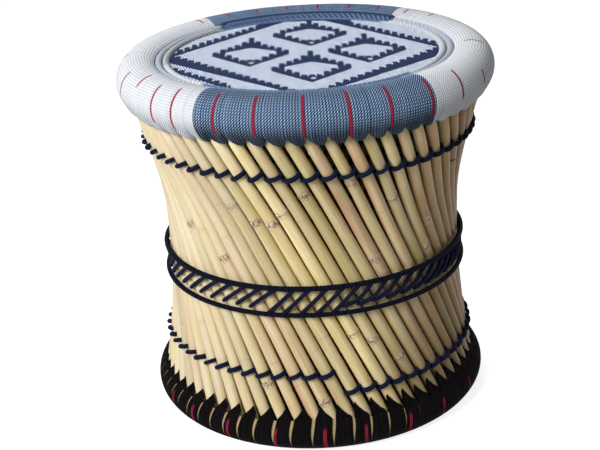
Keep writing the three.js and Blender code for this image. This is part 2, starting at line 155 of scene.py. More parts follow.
def gridObject(name, points, uv, closedU=False, values=None):
    # points[b, i, j] are b tubes of i stations along by j points round. A quad joins (i, j),
    # (i+1, j), (i+1, j+1), (i, j+1), and open tubes get a polygon at both ends. uv[b, i, j]
    # has one more row or column than points on a side that closes.
    batches, countU, countV = points.shape[:3]
    index = np.arange(batches * countU * countV).reshape(batches, countU, countV)
    here = np.arange(countU if closedU else countU - 1)[:, None]
    there = (here + 1) % countU
    low = np.arange(countV)[None, :]
    high = (low + 1) % countV
    quads = np.stack(
        [index[:, here, low], index[:, there, low], index[:, there, high], index[:, here, high]],
        axis=-1,
    ).reshape(-1, 4)
    quadUv = np.stack(
        [uv[:, :-1, :-1], uv[:, 1:, :-1], uv[:, 1:, 1:], uv[:, :-1, 1:]], axis=-2
    ).reshape(-1, 2)
    faces, corners, flat = [quads], [quadUv], 0
    if not closedU:
        caps = np.concatenate([index[:, 0, :], index[:, -1, ::-1]])
        capUv = np.concatenate([uv[:, 0, :countV], uv[:, -1, :countV][:, ::-1]])
        faces.append(caps)
        corners.append(capUv.reshape(-1, 2))
        flat = len(caps)
    corners = np.concatenate(corners)
    return makeObject(name, points.reshape(-1, 3), faces, corners, values, None, flat)


def tubeFrame(path, closed, away):
    # along = the path's direction, outward = away from the stool's axis or as away says,
    # square to it, across = outward x along
    if closed:
        along = np.roll(path, -1, axis=-2) - np.roll(path, 1, axis=-2)
    else:
        along = np.gradient(path, axis=-2)
    along /= np.linalg.norm(along, axis=-1, keepdims=True)
    outward = path * np.array([1.0, 1.0, 0.0]) if away is None else away
    outward = outward - along * np.sum(outward * along, axis=-1, keepdims=True)
    outward /= np.linalg.norm(outward, axis=-1, keepdims=True)
    return outward, np.cross(outward, along)


def sweep(path, radius, sides, closed=False, away=None, wide=1.0):
    # a section carried along each path: P = path + r (wide cos f outward + sin f across)
    outward, across = tubeFrame(path, closed, away)
    angle = np.arange(sides) * turn / sides
    ring = (
        wide * np.cos(angle)[:, None] * outward[..., None, :]
        + np.sin(angle)[:, None] * across[..., None, :]
    )
    return path[..., None, :] + np.broadcast_to(radius, ring.shape[:-1])[..., None] * ring


def tubeUv(path, sides, closed=False):
    # u = turns round the tube, v = millimetres along it
    if closed:
        path = np.concatenate([path, path[:, :1]], axis=1)
    step = np.linalg.norm(np.diff(path, axis=-2), axis=-1)
    length = np.concatenate([np.zeros((len(path), 1)), np.cumsum(step, axis=-1)], axis=-1)
    u = np.broadcast_to(np.arange(sides + 1) / sides, length.shape + (sides + 1,))
    return np.stack([u, np.broadcast_to(length[..., None], u.shape)], axis=-1)


def finishPiece(piece, material, slot, node):
    piece.data.materials.append(material)
    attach(piece, "root")
    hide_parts(node)


def addWrap(name, first, last, columns, look, values, *finish):
    # a stretch of winding from one column to another, past the start if it must, with a seam
    # at both ends. u = number of the turn of cord, v = millimetres along it.
    radius, azimuth, height, strand, length = columns
    which = np.arange(first, last + 1)
    loop, lap = which % len(strand), which // len(strand)
    seam = np.zeros((len(which), 1))
    seam[0], seam[-1] = look["seamGap"], -look["seamGap"]
    points = polar(radius[loop], azimuth[loop] + seam / radius[loop], height[loop])
    v = np.concatenate([length, length[:, -1:] + 3], axis=1)[loop]
    u = (strand[loop] + lap * caneCount * look["strands"])[:, None]
    uv = np.stack([np.broadcast_to(u, v.shape), v], -1)[None]
    values = {key: np.broadcast_to(value, radius.shape)[loop] for key, value in values.items()}
    finishPiece(gridObject(name, points[None], uv, values=values), *finish)


# materials
def linear(code):
    # an sRGB hex colour as linear red, green, blue and alpha
    parts = [int(code[k : k + 2], 16) / 255 for k in (1, 3, 5)]
    return [p / 12.92 if p <= 0.04045 else ((p + 0.055) / 1.055) ** 2.4 for p in parts] + [1.0]


def addNode(tree, kind, inputs=(), out=0, **settings):
    # makes a node, sets its properties, then sets or links its inputs, given in order or by
    # name, and returns the pair (node, output) by which another node links to it
    node = tree.nodes.new("ShaderNode" + kind)
    for key, value in settings.items():
        setattr(node, key, value)
    for key, value in inputs.items() if isinstance(inputs, dict) else enumerate(inputs):
        if isinstance(value, tuple):
            tree.links.new(value[0].outputs[value[1]], node.inputs[key])
        else:
            node.inputs[key].default_value = value
    return node, out


def newMaterial(name):
    # an empty material and the function that adds nodes to it
    material = bpy.data.materials.new(name)
    material.use_nodes = True
    material.node_tree.nodes.clear()
    return material, functools.partial(addNode, material.node_tree)


def finishShader(add, colour, height, bump, sockets):
    # a bump of a strength and a depth, and the shader with its plain values on its sockets
    normal = add("Bump", {"Height": height, "Strength": bump[0], "Distance": bump[1]})
    shader = add("BsdfPrincipled", {**sockets, "Base Color": colour, "Normal": normal})
    add("OutputMaterial", {"Surface": shader})


def toned(add, colour, name, spread, middle=1.0):
    # the colour made lighter or darker by an attribute: value = middle + spread x attribute
    share = add("Attribute", out="Fac", attribute_name=name)
    value = add("Math", [share, spread, middle], operation="MULTIPLY_ADD")
    return add("HueSaturation", {"Color": colour, "Value": value})


def plyWave(add, phase):
    # light on the plies of a twisted cord: (1 + cos of the phase in turns) / 2
    angle = add("Math", [phase, turn], operation="MULTIPLY")
    wave = add("Math", [angle], operation="COSINE")
    return add("Math", [wave, 0.5, 0.5], operation="MULTIPLY_ADD")


def turnCrown(add, across, power):
    # the edges of a turn or a stitch lie in shade: (4x (1 - x)) to a power
    rest = add("Math", [1.0, across], operation="SUBTRACT")
    arch = add("Math", [add("Math", [across, rest], operation="MULTIPLY"), 4.0],
               operation="MULTIPLY")
    return add("Math", [arch, power], operation="POWER")


def uvParts(add):
    parts = add("SeparateXYZ", [add("UVMap", uv_map="cordMap")])[0]
    return (parts, "X"), (parts, "Y")


def woundCord(name, look):
    # cotton cord, two plies twisted and wound in close turns: each turn shows slanting
    # plies with painted highlights, painted shade in the grooves between, and is matt with a soft
    # sheen
    material, add = newMaterial(name)
    u, v = uvParts(add)
    across = add("Math", [u], operation="FRACT")
    # phase = (v - slant x place across the turn) / lay, in turns of the ply
    slide = add("Math", [across, -look["slant"], v], operation="MULTIPLY_ADD")
    ply = plyWave(add, add("Math", [slide, look["lay"]], operation="DIVIDE"))
    crown = turnCrown(add, across, look["groove"])
    sharp = add("Math", [ply, look["sharp"]], operation="POWER")
    light = add("Math", [sharp, crown], operation="MULTIPLY")
    tints = [(light, "dark", "light"), (ply, "accentDark", "accentLight")]
    if "slitColour" in look:
        tints.append((ply, "slitShade", "slitColour"))
    tints = [
        add("Mix", {0: share, 6: linear(look[low]), 7: linear(look[high])}, 2, data_type="RGBA")
        for share, low, high in tints
    ]
    colour = toned(add, tints[0], "tone", look["toneSpread"])
    for key, tint in zip(("accent", "slit"), tints[1:]):
        share = add("Attribute", out="Fac", attribute_name=key)
        colour = add("Mix", {0: share, 6: colour, 7: tint}, 2, data_type="RGBA")
    rounded = add("Math", [crown, 0.5], operation="POWER")
    height = add("Math", [ply, rounded], operation="MULTIPLY")
    finishShader(add, colour, height, (look["bump"], 0.0006), {
        "Roughness": look["roughness"], "Sheen Weight": look["sheen"],
        "Specular IOR Level": look["specular"],
    })
    return material


blueLook = {
    # the cord's colour lies between light, a painted highlight on the plies, and dark, the
    # painted shade in the grooves
    "light": "#bbddff", "dark": "#071c42", "accentLight": "#b5283f", "accentDark": "#6e1023",
    "roughness": 0.8, "sheen": 0.02, "specular": 0.1, "bump": 0.6,
    "lay": 3.1, "slant": 3.6,  # millimetres of cord to one turn of a ply, and its slant
    "sharp": 1.5, "groove": 1.1, "toneSpread": 0.07,
}
whiteLook = dict(
    blueLook, light="#f4f5f7", dark="#a9b1bf", toneSpread=0.02, sharp=0.5, groove=0.3, bump=0.45
)
blackLook = dict(
    blueLook, light="#1c1719", dark="#040304", accentLight="#c23a55", accentDark="#7c1a30",
    sheen=0.0, specular=0.04, toneSpread=0.25, slitColour="#c9b88c", slitShade="#7d6845",
    lay=2.2, slant=1.4, sharp=0.8,
)


def reedMaterial(name, look):
    # peeled reed, dried: a smooth straw skin with fine fibres along it, ringed by scarred
    # nodes, and no two canes of quite the same colour; the outer canes carry painted light on one
    # side of the stool and painted shade on the other
    material, add = newMaterial(name)
    u, v = uvParts(add)
    hue, seed, bleach, scar, ring = [
        add("Attribute", out="Fac", attribute_name=key)
        for key in ("hue", "seed", "bleach", "scar", "ring")
    ]
    # noise stretched along the cane, and new on each: (u / width, v / length, jump x seed)
    noises = []
    for width, length, jump, detail, roughness in look["grains"]:
        spot = add("CombineXYZ", [
            add("Math", [u, width], operation="DIVIDE"),
            add("Math", [v, length], operation="DIVIDE"),
            add("Math", [seed, jump], operation="MULTIPLY"),
        ])
        noises.append(add("TexNoise", {
            "Vector": spot, "Scale": 1.0, "Detail": detail, "Roughness": roughness,
        }))
    fibres, patches, speckles = noises
    patchy = add("MapRange", [patches, 0.3, 0.75])
    fibre = add("MapRange", [fibres, 0.35, 0.7, 0.0, 0.45])
    speckle = add("MapRange", [speckles, 0.45, 0.58])
    # a scar is a pale patch with brown speckles about a millimetre across, round a ring
    brown = add("Math", [scar, speckle], operation="MULTIPLY")
    colour = linear(look["greenish"])
    # painted light on the lit side of the stool and painted shade on the far side, both carried
    # by one attribute
    for share, key in (
        (hue, "pinkish"), (patchy, "pale"), (fibre, "streak"), (bleach, "paintedLightColour"),
        (add("Math", [bleach, -1.0], operation="MULTIPLY"), "paintedShadeColour"),
        (add("Math", [scar, 0.55], operation="MULTIPLY"), "healed"),
        (add("Math", [brown, ring], operation="MAXIMUM"), "scar"),
    ):
        colour = add("Mix", {0: share, 6: colour, 7: linear(look[key])}, 2, data_type="RGBA")
    colour = toned(add, colour, "tone", look["toneSpread"])
    finishShader(add, colour, fibres, (0.25, 0.0004), {
        "Roughness": look["roughness"], "Specular IOR Level": 0.25,
    })
    return material


outerReedLook = {
    "greenish": "#d3c481", "pinkish": "#d2a47c", "pale": "#ebddb4", "streak": "#a78251",
    # a pale colour for painted light and a brown for painted shade, then healed and scarred skin
    "paintedLightColour": "#ddd4bd", "paintedShadeColour": "#6f5226", "healed": "#e6d2bb", "scar": "#64402b",
    "roughness": 0.45, "toneSpread": 0.12,
    # fibres, patches and speckles: width and length in millimetres, jump, detail, roughness
    "grains": [
        (1.1111, 55.556, 37.0, 4.0, 0.6), (16.667, 83.333, 91.0, 2.0, 0.5),
        (1.8182, 2.5974, 29.15, 3.0, 0.65),
    ],
}
# the inner canes' colours are made dark as painted shade, for the shade inside the stool
innerReedPaintedShadeLook = dict(
    outerReedLook, greenish="#4e3f22", pinkish="#4a351b", pale="#5a4826", streak="#3d2c15",
    roughness=0.6,
)


def twineMaterial(name, look):
    # twisted cotton twine: plies that slant round the cord, with painted light on their backs and
    # painted shade in the grooves between them
    material, add = newMaterial(name)
    u, v = uvParts(add)
    # phase = v / lay - turns round the cord x plies
    along = add("Math", [v, look["lay"]], operation="DIVIDE")
    around = add("Math", [u, float(look["plies"])], operation="MULTIPLY")
    ply = plyWave(add, add("Math", [along, around], operation="SUBTRACT"))
    groove, shade = [
        add("Attribute", out="Fac", attribute_name=key) for key in ("groove", "shade")
    ]
    tints = []
    for names in (("dark", "light", "groove"), ("otherDark", "otherLight", "otherGroove")):
        if names[0] in look:
            dark, light, deep = [linear(look[key]) for key in names]
            lit = add("Mix", {0: ply, 6: dark, 7: light}, 2, data_type="RGBA")
            tints.append(add("Mix", {0: groove, 6: lit, 7: deep}, 2, data_type="RGBA"))
    colour = tints[0]
    if len(tints) > 1:
        colour = add("Mix", {0: shade, 6: colour, 7: tints[1]}, 2, data_type="RGBA")
    finishShader(add, colour, ply, (look["bump"], 0.0005), {
        "Roughness": look["roughness"], "Specular IOR Level": look["specular"],
    })
    return material


# the twine's colour lies between light, painted light on the plies' backs, and dark; groove is
# the painted shade in its grooves
navyLook = {
    "light": "#1b2342", "dark": "#03050c", "groove": "#020408", "roughness": 0.75,
    "specular": 0.06, "bump": 0.5,
    "lay": 2.4, "plies": 3,  # millimetres of twine from one ply to the next
}
whiteRopeLook = dict(
    navyLook, light="#eff3f8", dark="#cfd6e0", groove="#9aa5b8", lay=2.2, plies=6, bump=0.3
)
blueRopeLook = dict(
    navyLook, light="#8ba6d0", dark="#3f5787", groove="#101b36", lay=2.2, plies=6, bump=0.35
)
edgeRopeLook = dict(
    whiteRopeLook, groove="#2f2a25", otherLight="#8fa6c9", otherDark="#4a5e86",
    otherGroove="#0e152a",
)


def grassMaterial(name, look):
    # dried grass or split cane, tied: matt straw stalks that run round the stool, so the
    # noise is as long as the bundle is wide and a millimetre or less high
    material, add = newMaterial(name)
    place = add("TexCoord", out="Object")
    stretched = add("Mapping", {"Vector": place, "Scale": look["perMetre"]})
    stalks = add("TexNoise", {
        "Vector": stretched, "Scale": 1.0, "Detail": 3.0, "Roughness": 0.6,
    })
    dark, light = linear(look["dark"]), linear(look["light"])
    colour = add("Mix", {0: stalks, 6: dark, 7: light}, 2, data_type="RGBA")
    finishShader(add, colour, stalks, (0.5, 0.0008), {
        "Roughness": 0.85, "Specular IOR Level": 0.2,
    })
    return material


blueCord = woundCord("woundBlueCottonCord", blueLook)
whiteCord = woundCord("woundWhiteCottonCord", whiteLook)
blackCord = woundCord("woundBlackCottonCord", blackLook)
outerReed = reedMaterial("peeledReed", outerReedLook)
innerReedPaintedShade = reedMaterial("peeledReedInsidePaintedShade", innerReedPaintedShadeLook)
navyTwine = twineMaterial("navyCottonTwine", navyLook)
whiteRope = twineMaterial("whiteCottonRope", whiteRopeLook)
blueRope = twineMaterial("blueCottonRope", blueRopeLook)
edgeRope = twineMaterial("seatEdgeCottonRope", edgeRopeLook)
grass = grassMaterial(
    "driedGrassBundle", {"light": "#cdb682", "dark": "#8d7443", "perMetre": [60, 60, 900]}
)
splitCane = grassMaterial(
    "splitCane", {"light": "#c9a869", "dark": "#9b7a43", "perMetre": [40, 40, 1500]}
)
print("materials made")

# canes
canes = {
    "foot": 14.0, "rows": 30, "sides": 14, "innerRows": 24, "innerSides": 10,
    "fineRows": [-7, -3.6, -1.9, -0.9, -0.2, 0.5, 1.2, 2.2, 4.2, 8.0],  # rows round a node
    "lowNodes": (70, 190), "highNodes": (215, 345), "nodesPart": 203,
    "nodeSwell": 0.5, "radiusSpread": 0.06, "bow": 0.5, "azimuthSpread": 0.0012,
    "bleach": 0.42, "paintedLightMiddle": -165.0,  # painted light on this side of the stool
    "brown": 0.75, "paintedShadeMiddle": -12.0,  # and painted shade on this one
}
# scarred nodes that show from the front: azimuth in degrees and height
seenNodes = [
    (-126.3, 207.8), (-118.4, 273.3), (-110.5, 256.9), (-104.6, 255.3), (-100.3, 268.4),
    (-92.0, 291.3), (-75.8, 301.1), (-59.2, 273.3), (-66.7, 207.8), (-41.9, 232.4),
    (-42.7, 201.3), (-75.8, 127.7), (-68.3, 116.2), (-58.4, 88.4), (-142.1, 235.7),
    (-108.2, 72.0), (-87.6, 54.0),
]


def nodeHeights():
    # two node heights per cane, at random, with those seen in the picture put in
    random = seeded(11)
    heights = np.stack(
        [random.uniform(*canes[part], caneCount) for part in ("lowNodes", "highNodes")], axis=1
    )
    strength = random.uniform(0.0, 0.25, heights.shape)
    for azimuth, height in seenNodes:
        index = int(np.round(stationAt(azimuth, height))) % caneCount
        which = int(height > canes["nodesPart"])
        heights[index, which] = height
        strength[index, which] = 1.0
    return heights, strength


def sideShare(bearing, middle, full, fall):
    # 1 within full degrees of a side of the stool, falling to 0 over fall degrees
    off = np.abs((bearing - middle + 180) % 360 - 180)
    return 1 - smoothStep((off - full) / fall)


def caneSet(radius, slope, axisRadius, rows, sides, seed, nodes, strength):
    # a cane stands on its ring at the waist and leans along it:
    # P(z) = R e_r + slope (z - waist) e_t + z, with a ring swollen at each node
    random = seeded(seed)
    azimuth = canePhase + np.arange(caneCount) * caneStep
    azimuth = azimuth + random.normal(0, canes["azimuthSpread"], caneCount)
    plain = np.linspace(canes["foot"], rimHeight, rows)
    near = (nodes[:, :, None] + np.array(canes["fineRows"])).reshape(caneCount, -1)
    near = np.clip(near, canes["foot"] + 1, rimHeight - 1)
    height = np.concatenate([np.broadcast_to(plain, (caneCount, rows)), near], axis=1)
    height = np.sort(height, axis=1) + np.arange(height.shape[1]) * 1e-4
    outward = polar(1.0, azimuth, 0.0)[:, None]
    around = polar(1.0, azimuth + turn / 4, 0.0)[:, None]
    bow = canes["bow"] * random.uniform(-1, 1, caneCount)[:, None] * np.sin(height / 380 * turn)
    sideways = slope * (height - stool["waistHeight"]) + bow
    path = outward * axisRadius + around * sideways[..., None]
    path[..., 2] += height
    isOuter = slope < 0
    if isOuter:
        reach = np.hypot(path[..., 0], path[..., 1])
        path[..., :2] *= (1 + caneFlare(height) / reach)[..., None]
    size = radius * (1 - canes["radiusSpread"] * random.uniform(0, 1, caneCount))[:, None]
    size = size * caneSize(height) / stool["caneRadius"]
    # at a node: a swelling, a sharp ridge on it and a groove above the ridge
    gap = (height[:, None] - nodes[..., None]) * math.hypot(1, slope)
    strength = strength[..., None]
    swell = 0.4 * np.exp(-((gap / 7) ** 2)) + 0.8 * np.exp(-((gap / 2.0) ** 2))
    swell -= 0.7 * np.exp(-(((gap - 2.4) / 0.9) ** 2))
    size = size + canes["nodeSwell"] * np.sum(swell * (0.12 + 0.88 * strength), axis=1)
    angle = np.arange(sides) * turn / sides
    oval = 1 + 0.012 * np.cos(2 * angle + random.uniform(0, turn, caneCount)[:, None])
    points = sweep(path, size[..., None] * oval[:, None, :], sides)
    patch = 0.6 + 0.4 * np.cos(angle + random.normal(0, 0.6, caneCount)[:, None])
    blotch = np.sum(np.exp(-((gap / 4.5) ** 4)) * strength, axis=1)
    scar = blotch[..., None] * patch[:, None, :]
    ring = np.sum(0.5 * np.exp(-((gap / 1.2) ** 2)) * (0.25 + 0.75 * strength), axis=1)
    # painted light and shade by the side of the stool: lighter where the light falls, browner and
    # darker on the side away from it
    bearing = np.degrees(np.arctan2(path[..., 1], path[..., 0]))
    low = 1 - smoothStep((height - 60) / 110)  # the painted shade is darker near the floor
    brown = canes["brown"] * (1 + 0.15 * low)
    brown = brown * sideShare(bearing, canes["paintedShadeMiddle"], 14, 38 + 22 * low)
    bleach = canes["bleach"] * sideShare(bearing, canes["paintedLightMiddle"], 20, 60) - brown

    def spread(value):
        return np.broadcast_to(value.reshape(caneCount, -1, 1), scar.shape)

    values = {
        "bleach": spread(bleach * isOuter),
        "scar": np.clip(scar, 0, 1),
        "ring": spread(np.clip(ring, 0, 1)),
        "tone": spread(random.normal(0, 1, caneCount)),
        "hue": spread(random.beta(0.9, 1.1, caneCount)),
        "seed": spread(random.uniform(0, 1, caneCount)),
    }
    uv = tubeUv(path, sides)
    uv[..., 0] *= turn * radius
    return points, uv, values


def addCanes():
    outer = caneSet(
        stool["caneRadius"], -outerSlope, waistRadius, canes["rows"], canes["sides"], 21,
        *nodeHeights(),
    )
    random = seeded(33)
    innerNodes = random.uniform(60, 350, (caneCount, 1))
    innerStrength = random.uniform(0.2, 0.7, innerNodes.shape)
    inner = caneSet(
        innerCaneRadius, innerSlope, innerWaistRadius, canes["innerRows"], canes["innerSides"],
        34, innerNodes, innerStrength,
    )
    for layer, (points, uv, values), material in (
        ("outer", outer, outerReed), ("inner", inner, innerReedPaintedShade)
    ):
        for bunch in range(caneCount // 3):
            which = (np.arange(3) + 3 * bunch - 1) % caneCount
            number = str(bunch + 1).zfill(2)
            mine = {key: value[which] for key, value in values.items()}
            piece = gridObject(layer + "Reeds" + number, points[which], uv[which], values=mine)
            finishPiece(piece, material, layer + "_cane", layer + "_canes_" + number)


addCanes()
print("canes made")

# the rim's wound cord
rim = {
    "strands": 7, "samples": 4,  # turns of cord between two canes, points across a turn
    "notchTop": -23.0, "fanEnd": -84.0,  # degrees up the roll where the fans of cord run
    "shortest": 0.9, "longest": 1.07,  # the fans' lengths differ by these shares
    "arcBottom": -96.0, "arcTop": 131.9, "arcRows": 44,
    "bulge": 2.4, "sink": 2.6, "relief": 0.95, "edge": 0.012,
    # painted shade: how much darker the cord is made under the roll and on its crown
    "footShade": 10.5, "crownShade": 3.0,
    "colours": [
        ("front_blue", 0, 12, "blue"), ("right_white", 12, 29, "white"),
        ("back_blue", 29, 42, "blue"), ("left_white", 42, 60, "white"),
    ],
    "firstGap": -16.5, "firstTurn": 4,  # the gap where counting starts, and the seams' turn
    # backShade is the share of that painted shade on the back's blue cord
    "seamGap": 0.15, "backShade": 0.3,
}
# turns of red cord: azimuth, and the degrees round the roll between which they show
rimAccents = [
    (-161.5, -4, 62), (-150, 38, 90), (-140, -34, 70), (-131, -40, 76), (-117, -34, 78),
    (-105, -30, 78), (-91, -38, 78), (-78, -55, 78), (-66, -32, 80), (-52.6, -30, 72),
    (-40, -14, 68), (-26, -8, 32), (-6, 56, 108), (34, 80, 106), (46, 90, 116), (178, 34, 66),
    (166, 40, 70), (152, 42, 70),
] + [(azimuth, -40, 114) for azimuth in np.arange(59.0, 140, 12.2)]


def smoothLess(value, limit, width):
    # the lesser of two numbers, rounded where they meet
    return limit - width * np.log1p(np.exp((limit - value) / width))


def rimRows():
    # the wrap's section as a loop of rows: the roll's arc from under the fans over the
    # crown, the recess wall, the ledge, the inner wall, and back through the inside
    roll, ledge = stool["rollRadius"], stool["ledge"]
    angle = np.linspace(rim["arcBottom"], rim["arcTop"], rim["arcRows"])
    radians = np.radians(angle)
    arc = np.stack([rimRadius + roll * np.cos(radians), rimHeight + roll * np.sin(radians)], 1)
    recess, inner, outer = stool["recessRadius"], stool["wallInner"], stool["wallOuter"]
    wall = [
        (recess, 389.5), (recess - 0.3, ledge + 0.6), (recess - 1.2, ledge), (156.0, ledge),
        (149.0, ledge), (inner + 1.0, ledge), (inner, ledge - 1.0), (inner, 378.0),
        (inner, 369.0), (inner, 360.0), (inner, stool["wallBottom"] + 1.0),
        (inner + 0.8, stool["wallBottom"]),
    ]
    hidden = [
        (outer, stool["wallBottom"]), (outer, ledge - 3.0), (recess + 3.0, ledge - 3.0),
        (164.5, 392.0), (179.0, 397.0), (196.0, 389.5), (202.0, 374.4), (190.0, 370.5),
        (178.0, 367.0), (172.5, 358.0), (171.5, 350.5),
    ]
    section = np.concatenate([arc, wall, hidden])
    shown = len(arc) + len(wall)
    before, after = np.roll(section, 1, axis=0), np.roll(section, -1, axis=0)
    along = (after - before) / np.linalg.norm(after - before, axis=1, keepdims=True)
    normal = np.stack([along[:, 1], -along[:, 0]], axis=1)
    normal[: len(arc)] = np.stack([np.cos(radians), np.sin(radians)], axis=1)
    full = np.concatenate([angle, np.full(len(wall) + len(hidden), 140.0)])
    return section, normal, full, shown


def addRim():
    # one fan of cord runs from the middle of a cane (-1) to the next (1). Each column has
    # its place, its turn of cord, its height on that turn, and whether it lies in the notch.
    strands, samples, edge = rim["strands"], rim["samples"], rim["edge"]
    inner = np.arange(strands * samples + 1) / samples
    across = -1 + edge + (2 - 2 * edge) * inner / strands
    place = np.concatenate([[-1, -1 + edge / 2], across, [1 - edge / 2]])
    strand = np.concatenate([[0, 0], inner, [strands]])
    crown = np.concatenate([[0, 0], np.abs(np.sin(math.pi * inner)), [0]])
    notch = np.concatenate([[1, 1], np.zeros(len(inner)), [1]])
    section, normal, angle, shown = rimRows()
    rowCount, width = len(section), len(place)
    units = np.arange(caneCount)
    centre = np.repeat(rim["firstGap"] + units, width)[:, None]
    columnStrand = (units[:, None] * strands + strand).ravel()
    x, columnCrown, inNotch = [
        np.tile(row, caneCount)[:, None] for row in (place, crown, notch)
    ]

    # a share runs from 0 where the fans part to 1 at their feet
    share = (rim["notchTop"] - angle) / (rim["notchTop"] - rim["fanEnd"])
    uneven = seeded(43).uniform(rim["shortest"], rim["longest"], caneCount)
    share = np.clip(share, 0, None) / np.repeat(uneven, width)[:, None]
    fan = np.sqrt(np.clip(1 - 0.9 * share**2, 0.04, None))
    fan[:, -1], fan[:, -2] = 0.22, 0.4
    bulge = rim["bulge"] * smoothStep((share - 0.08) / 0.6)
    bulge = bulge * (1 - 0.9 * smoothStep((share - 0.85) / 0.4))
    sink = rim["sink"] * smoothStep((share - 0.05) / 0.5)
    steps = [0, 0.12, 0.25, 0.38, 0.5, 1.0, 1.2]
    valleyRadius = np.interp(share, steps, [203.0, 197.5, 190, 183, 178, 174.8, 174.4])
    valleyHeight = np.interp(share, steps, [364.4, 360.8, 357, 355, 353.5, 350.5, 349.6])
    relief = np.full(rowCount, rim["relief"])
    relief[shown:] = 0
    relief[rim["arcRows"] : shown] = 0.6

    lift = bulge * (1 - np.abs(x) ** 2.5) - sink * np.abs(x) ** 4
    lift = lift - relief * (1 - columnCrown)
    deep = (share > 0) & (inNotch > 0)
    radius = np.where(deep, valleyRadius, section[:, 0] + normal[:, 0] * lift)
    height = np.where(deep, valleyHeight, section[:, 1] + normal[:, 1] * lift)
    station = centre + 0.5 * np.where(np.abs(x) == 1, x, x * fan)
    azimuth = caneAzimuth(station, smoothLess(height, stool["lipTop"], 3.0))
    length = np.concatenate([[0], np.cumsum(np.linalg.norm(np.diff(section, axis=0), axis=1))])
    tone = seeded(41).normal(0, 1, caneCount * strands + 1)
    tone = tone[np.floor(columnStrand).astype(int)][:, None]
    # painted shade: the cord is made darker under the roll, where the fans lie in shade, and a
    # little on its crown
    bandPaintedShade = -rim["footShade"] * smoothStep((14 - angle) / 52)
    bandPaintedShade = bandPaintedShade - rim["crownShade"] * smoothStep((angle - 42) / 30) * (angle < 125)
    accent = np.zeros((len(columnStrand), rowCount))
    for middle, low, high in rimAccents:
        turnAt = (stationAt(middle, stool["lipTop"]) - rim["firstGap"] + 0.5) * strands
        mine = np.floor(columnStrand) == np.floor(turnAt) % (caneCount * strands)
        ends = smoothStep((angle - low) / 5) * smoothStep((high - angle) / 5)
        accent += mine[:, None] * np.clip(0.5 + columnCrown, 0, 1) * ends

    cut = 2 + samples * rim["firstTurn"]
    columns = (radius, azimuth, height, columnStrand, np.broadcast_to(length, radius.shape))
    for side, first, last, kind in rim["colours"]:
        shade = rim["backShade"] if side == "back_blue" else 1
        addWrap(
            "rimCord_" + side, first * width + cut, last * width + cut, columns, rim,
            {"tone": tone + bandPaintedShade * shade, "accent": accent},
            blueCord if kind == "blue" else whiteCord, kind + "_cord", "rim_wrap_" + side,
        )


addRim()
print("rim made")


def addRimGrass():
    # the ring of grass outside the canes: its section is an ellipse of 12 points
    angle = np.arange(60) * turn / 60
    section = np.arange(12) * turn / 12
    radius, height = 192.5 + 7.0 * np.cos(section), 370.2 + 3.6 * np.sin(section)
    points = polar(radius[None], angle[:, None], height[None])[None]
    uv = np.stack(np.meshgrid(np.arange(61), np.arange(13), indexing="ij"), -1)[None]
    piece = gridObject("rimGrass", points, uv, closedU=True)
    finishPiece(piece, grass, "grass_bundle", "rim_outer_bundle")


addRimGrass()

# the base's wound cord
base = {
    "strands": 10, "samples": 3,  # turns of cord between two canes, points across a turn
    "slitHalf": 1.7,  # half width of a parting at its top
    "slitLow": 0.2,  # and at its foot
    "slitDepth": 1.0,
    "relief": 0.5,
    "cover": 1.0,
    "outerRows": 28,
    "firstGap": -35.5, "firstTurn": 5, "seamGap": 0.12,
    "curve": 0.10, "unitWidth": 18.8,  # the bend in canes, and a usual unit's width
    "coverFoot": 26, "coverRise": 8,  # the cord leaves the roll for the canes from here on
    "countHeight": 35.0,  # the columns' stations are those of the canes at this height
    "innerSection": [
        (185.0, 26.0), (184.4, 13.7), (177.3, 4.6), (159.7, 4.6), (155.0, 13.7), (150.5, 34.5),
        (149.8, 36.0), (148.6, 36.6), (147.5, 35.6), (147.2, 31.0), (147.4, 25.0),
        (147.9, 19.5), (149.0, 14.0), (151.0, 9.3), (154.3, 5.0), (158.5, 1.9), (163.9, 0.0),
        (stool["baseRadius"], 0.0),
    ],
    "accents": [-152.6, -139.6, -123.4, -105.9, -89.7, -75.6, -59.5, -44.5]
    + list(np.arange(-27.5, 190, 18.0)),  # azimuths of the turns of red cord
}
# partings by azimuth: offset from the middle of the cane, in canes, width as a share, the
# height of the top, and how far the points between two canes reach above it
partings = np.array([
    (-180, 0.0, 0.3, 34.5, 12.5), (-150, -0.3, 0.35, 34.5, 12.5),
    (-112, -0.45, 0.85, 34.5, 12.5), (-97, -0.3, 0.95, 36, 12.5), (-88, 0.0, 0.95, 37, 14),
    (-78, 0.15, 0.8, 36, 18), (-66, 0.18, 0.6, 34.5, 21), (-56, 0.18, 0.12, 34.5, 22),
    (-40, 0.08, 0.04, 36, 20), (-25, -0.15, 0.04, 38, 17), (10, -0.1, 0.1, 37, 14),
    (60, 0.0, 0.4, 34.5, 12.5), (180, 0.0, 0.3, 34.5, 12.5),
]).T


def baseRadiusAt(azimuth, height):
    # the cord lies on the roll, and higher up on the canes: the greater of roll and cane +
    # cover, rounded where they meet = half of sum plus the root of the squared difference
    level = np.clip((height - stool["baseMiddle"]) / stool["baseHalf"], -1, 1)
    roll = stool["baseRadius"] + stool["baseHalfWidth"] * np.sqrt(1 - level**2)
    onCane = stationAt(np.degrees(azimuth), height)
    aside = (onCane - np.round(onCane)) * caneStep * outerAxis(height) * leanCos
    swell = np.sqrt(np.clip(stool["caneRadius"] ** 2 - aside**2, 0, None))
    cover = outerAxis(height) + np.maximum(swell, 4.2) + base["cover"]
    cover = cover - 60 * (1 - smoothStep((height - base["coverFoot"]) / base["coverRise"]))
    return (roll + cover + np.sqrt((roll - cover) ** 2 + 1.2**2)) / 2


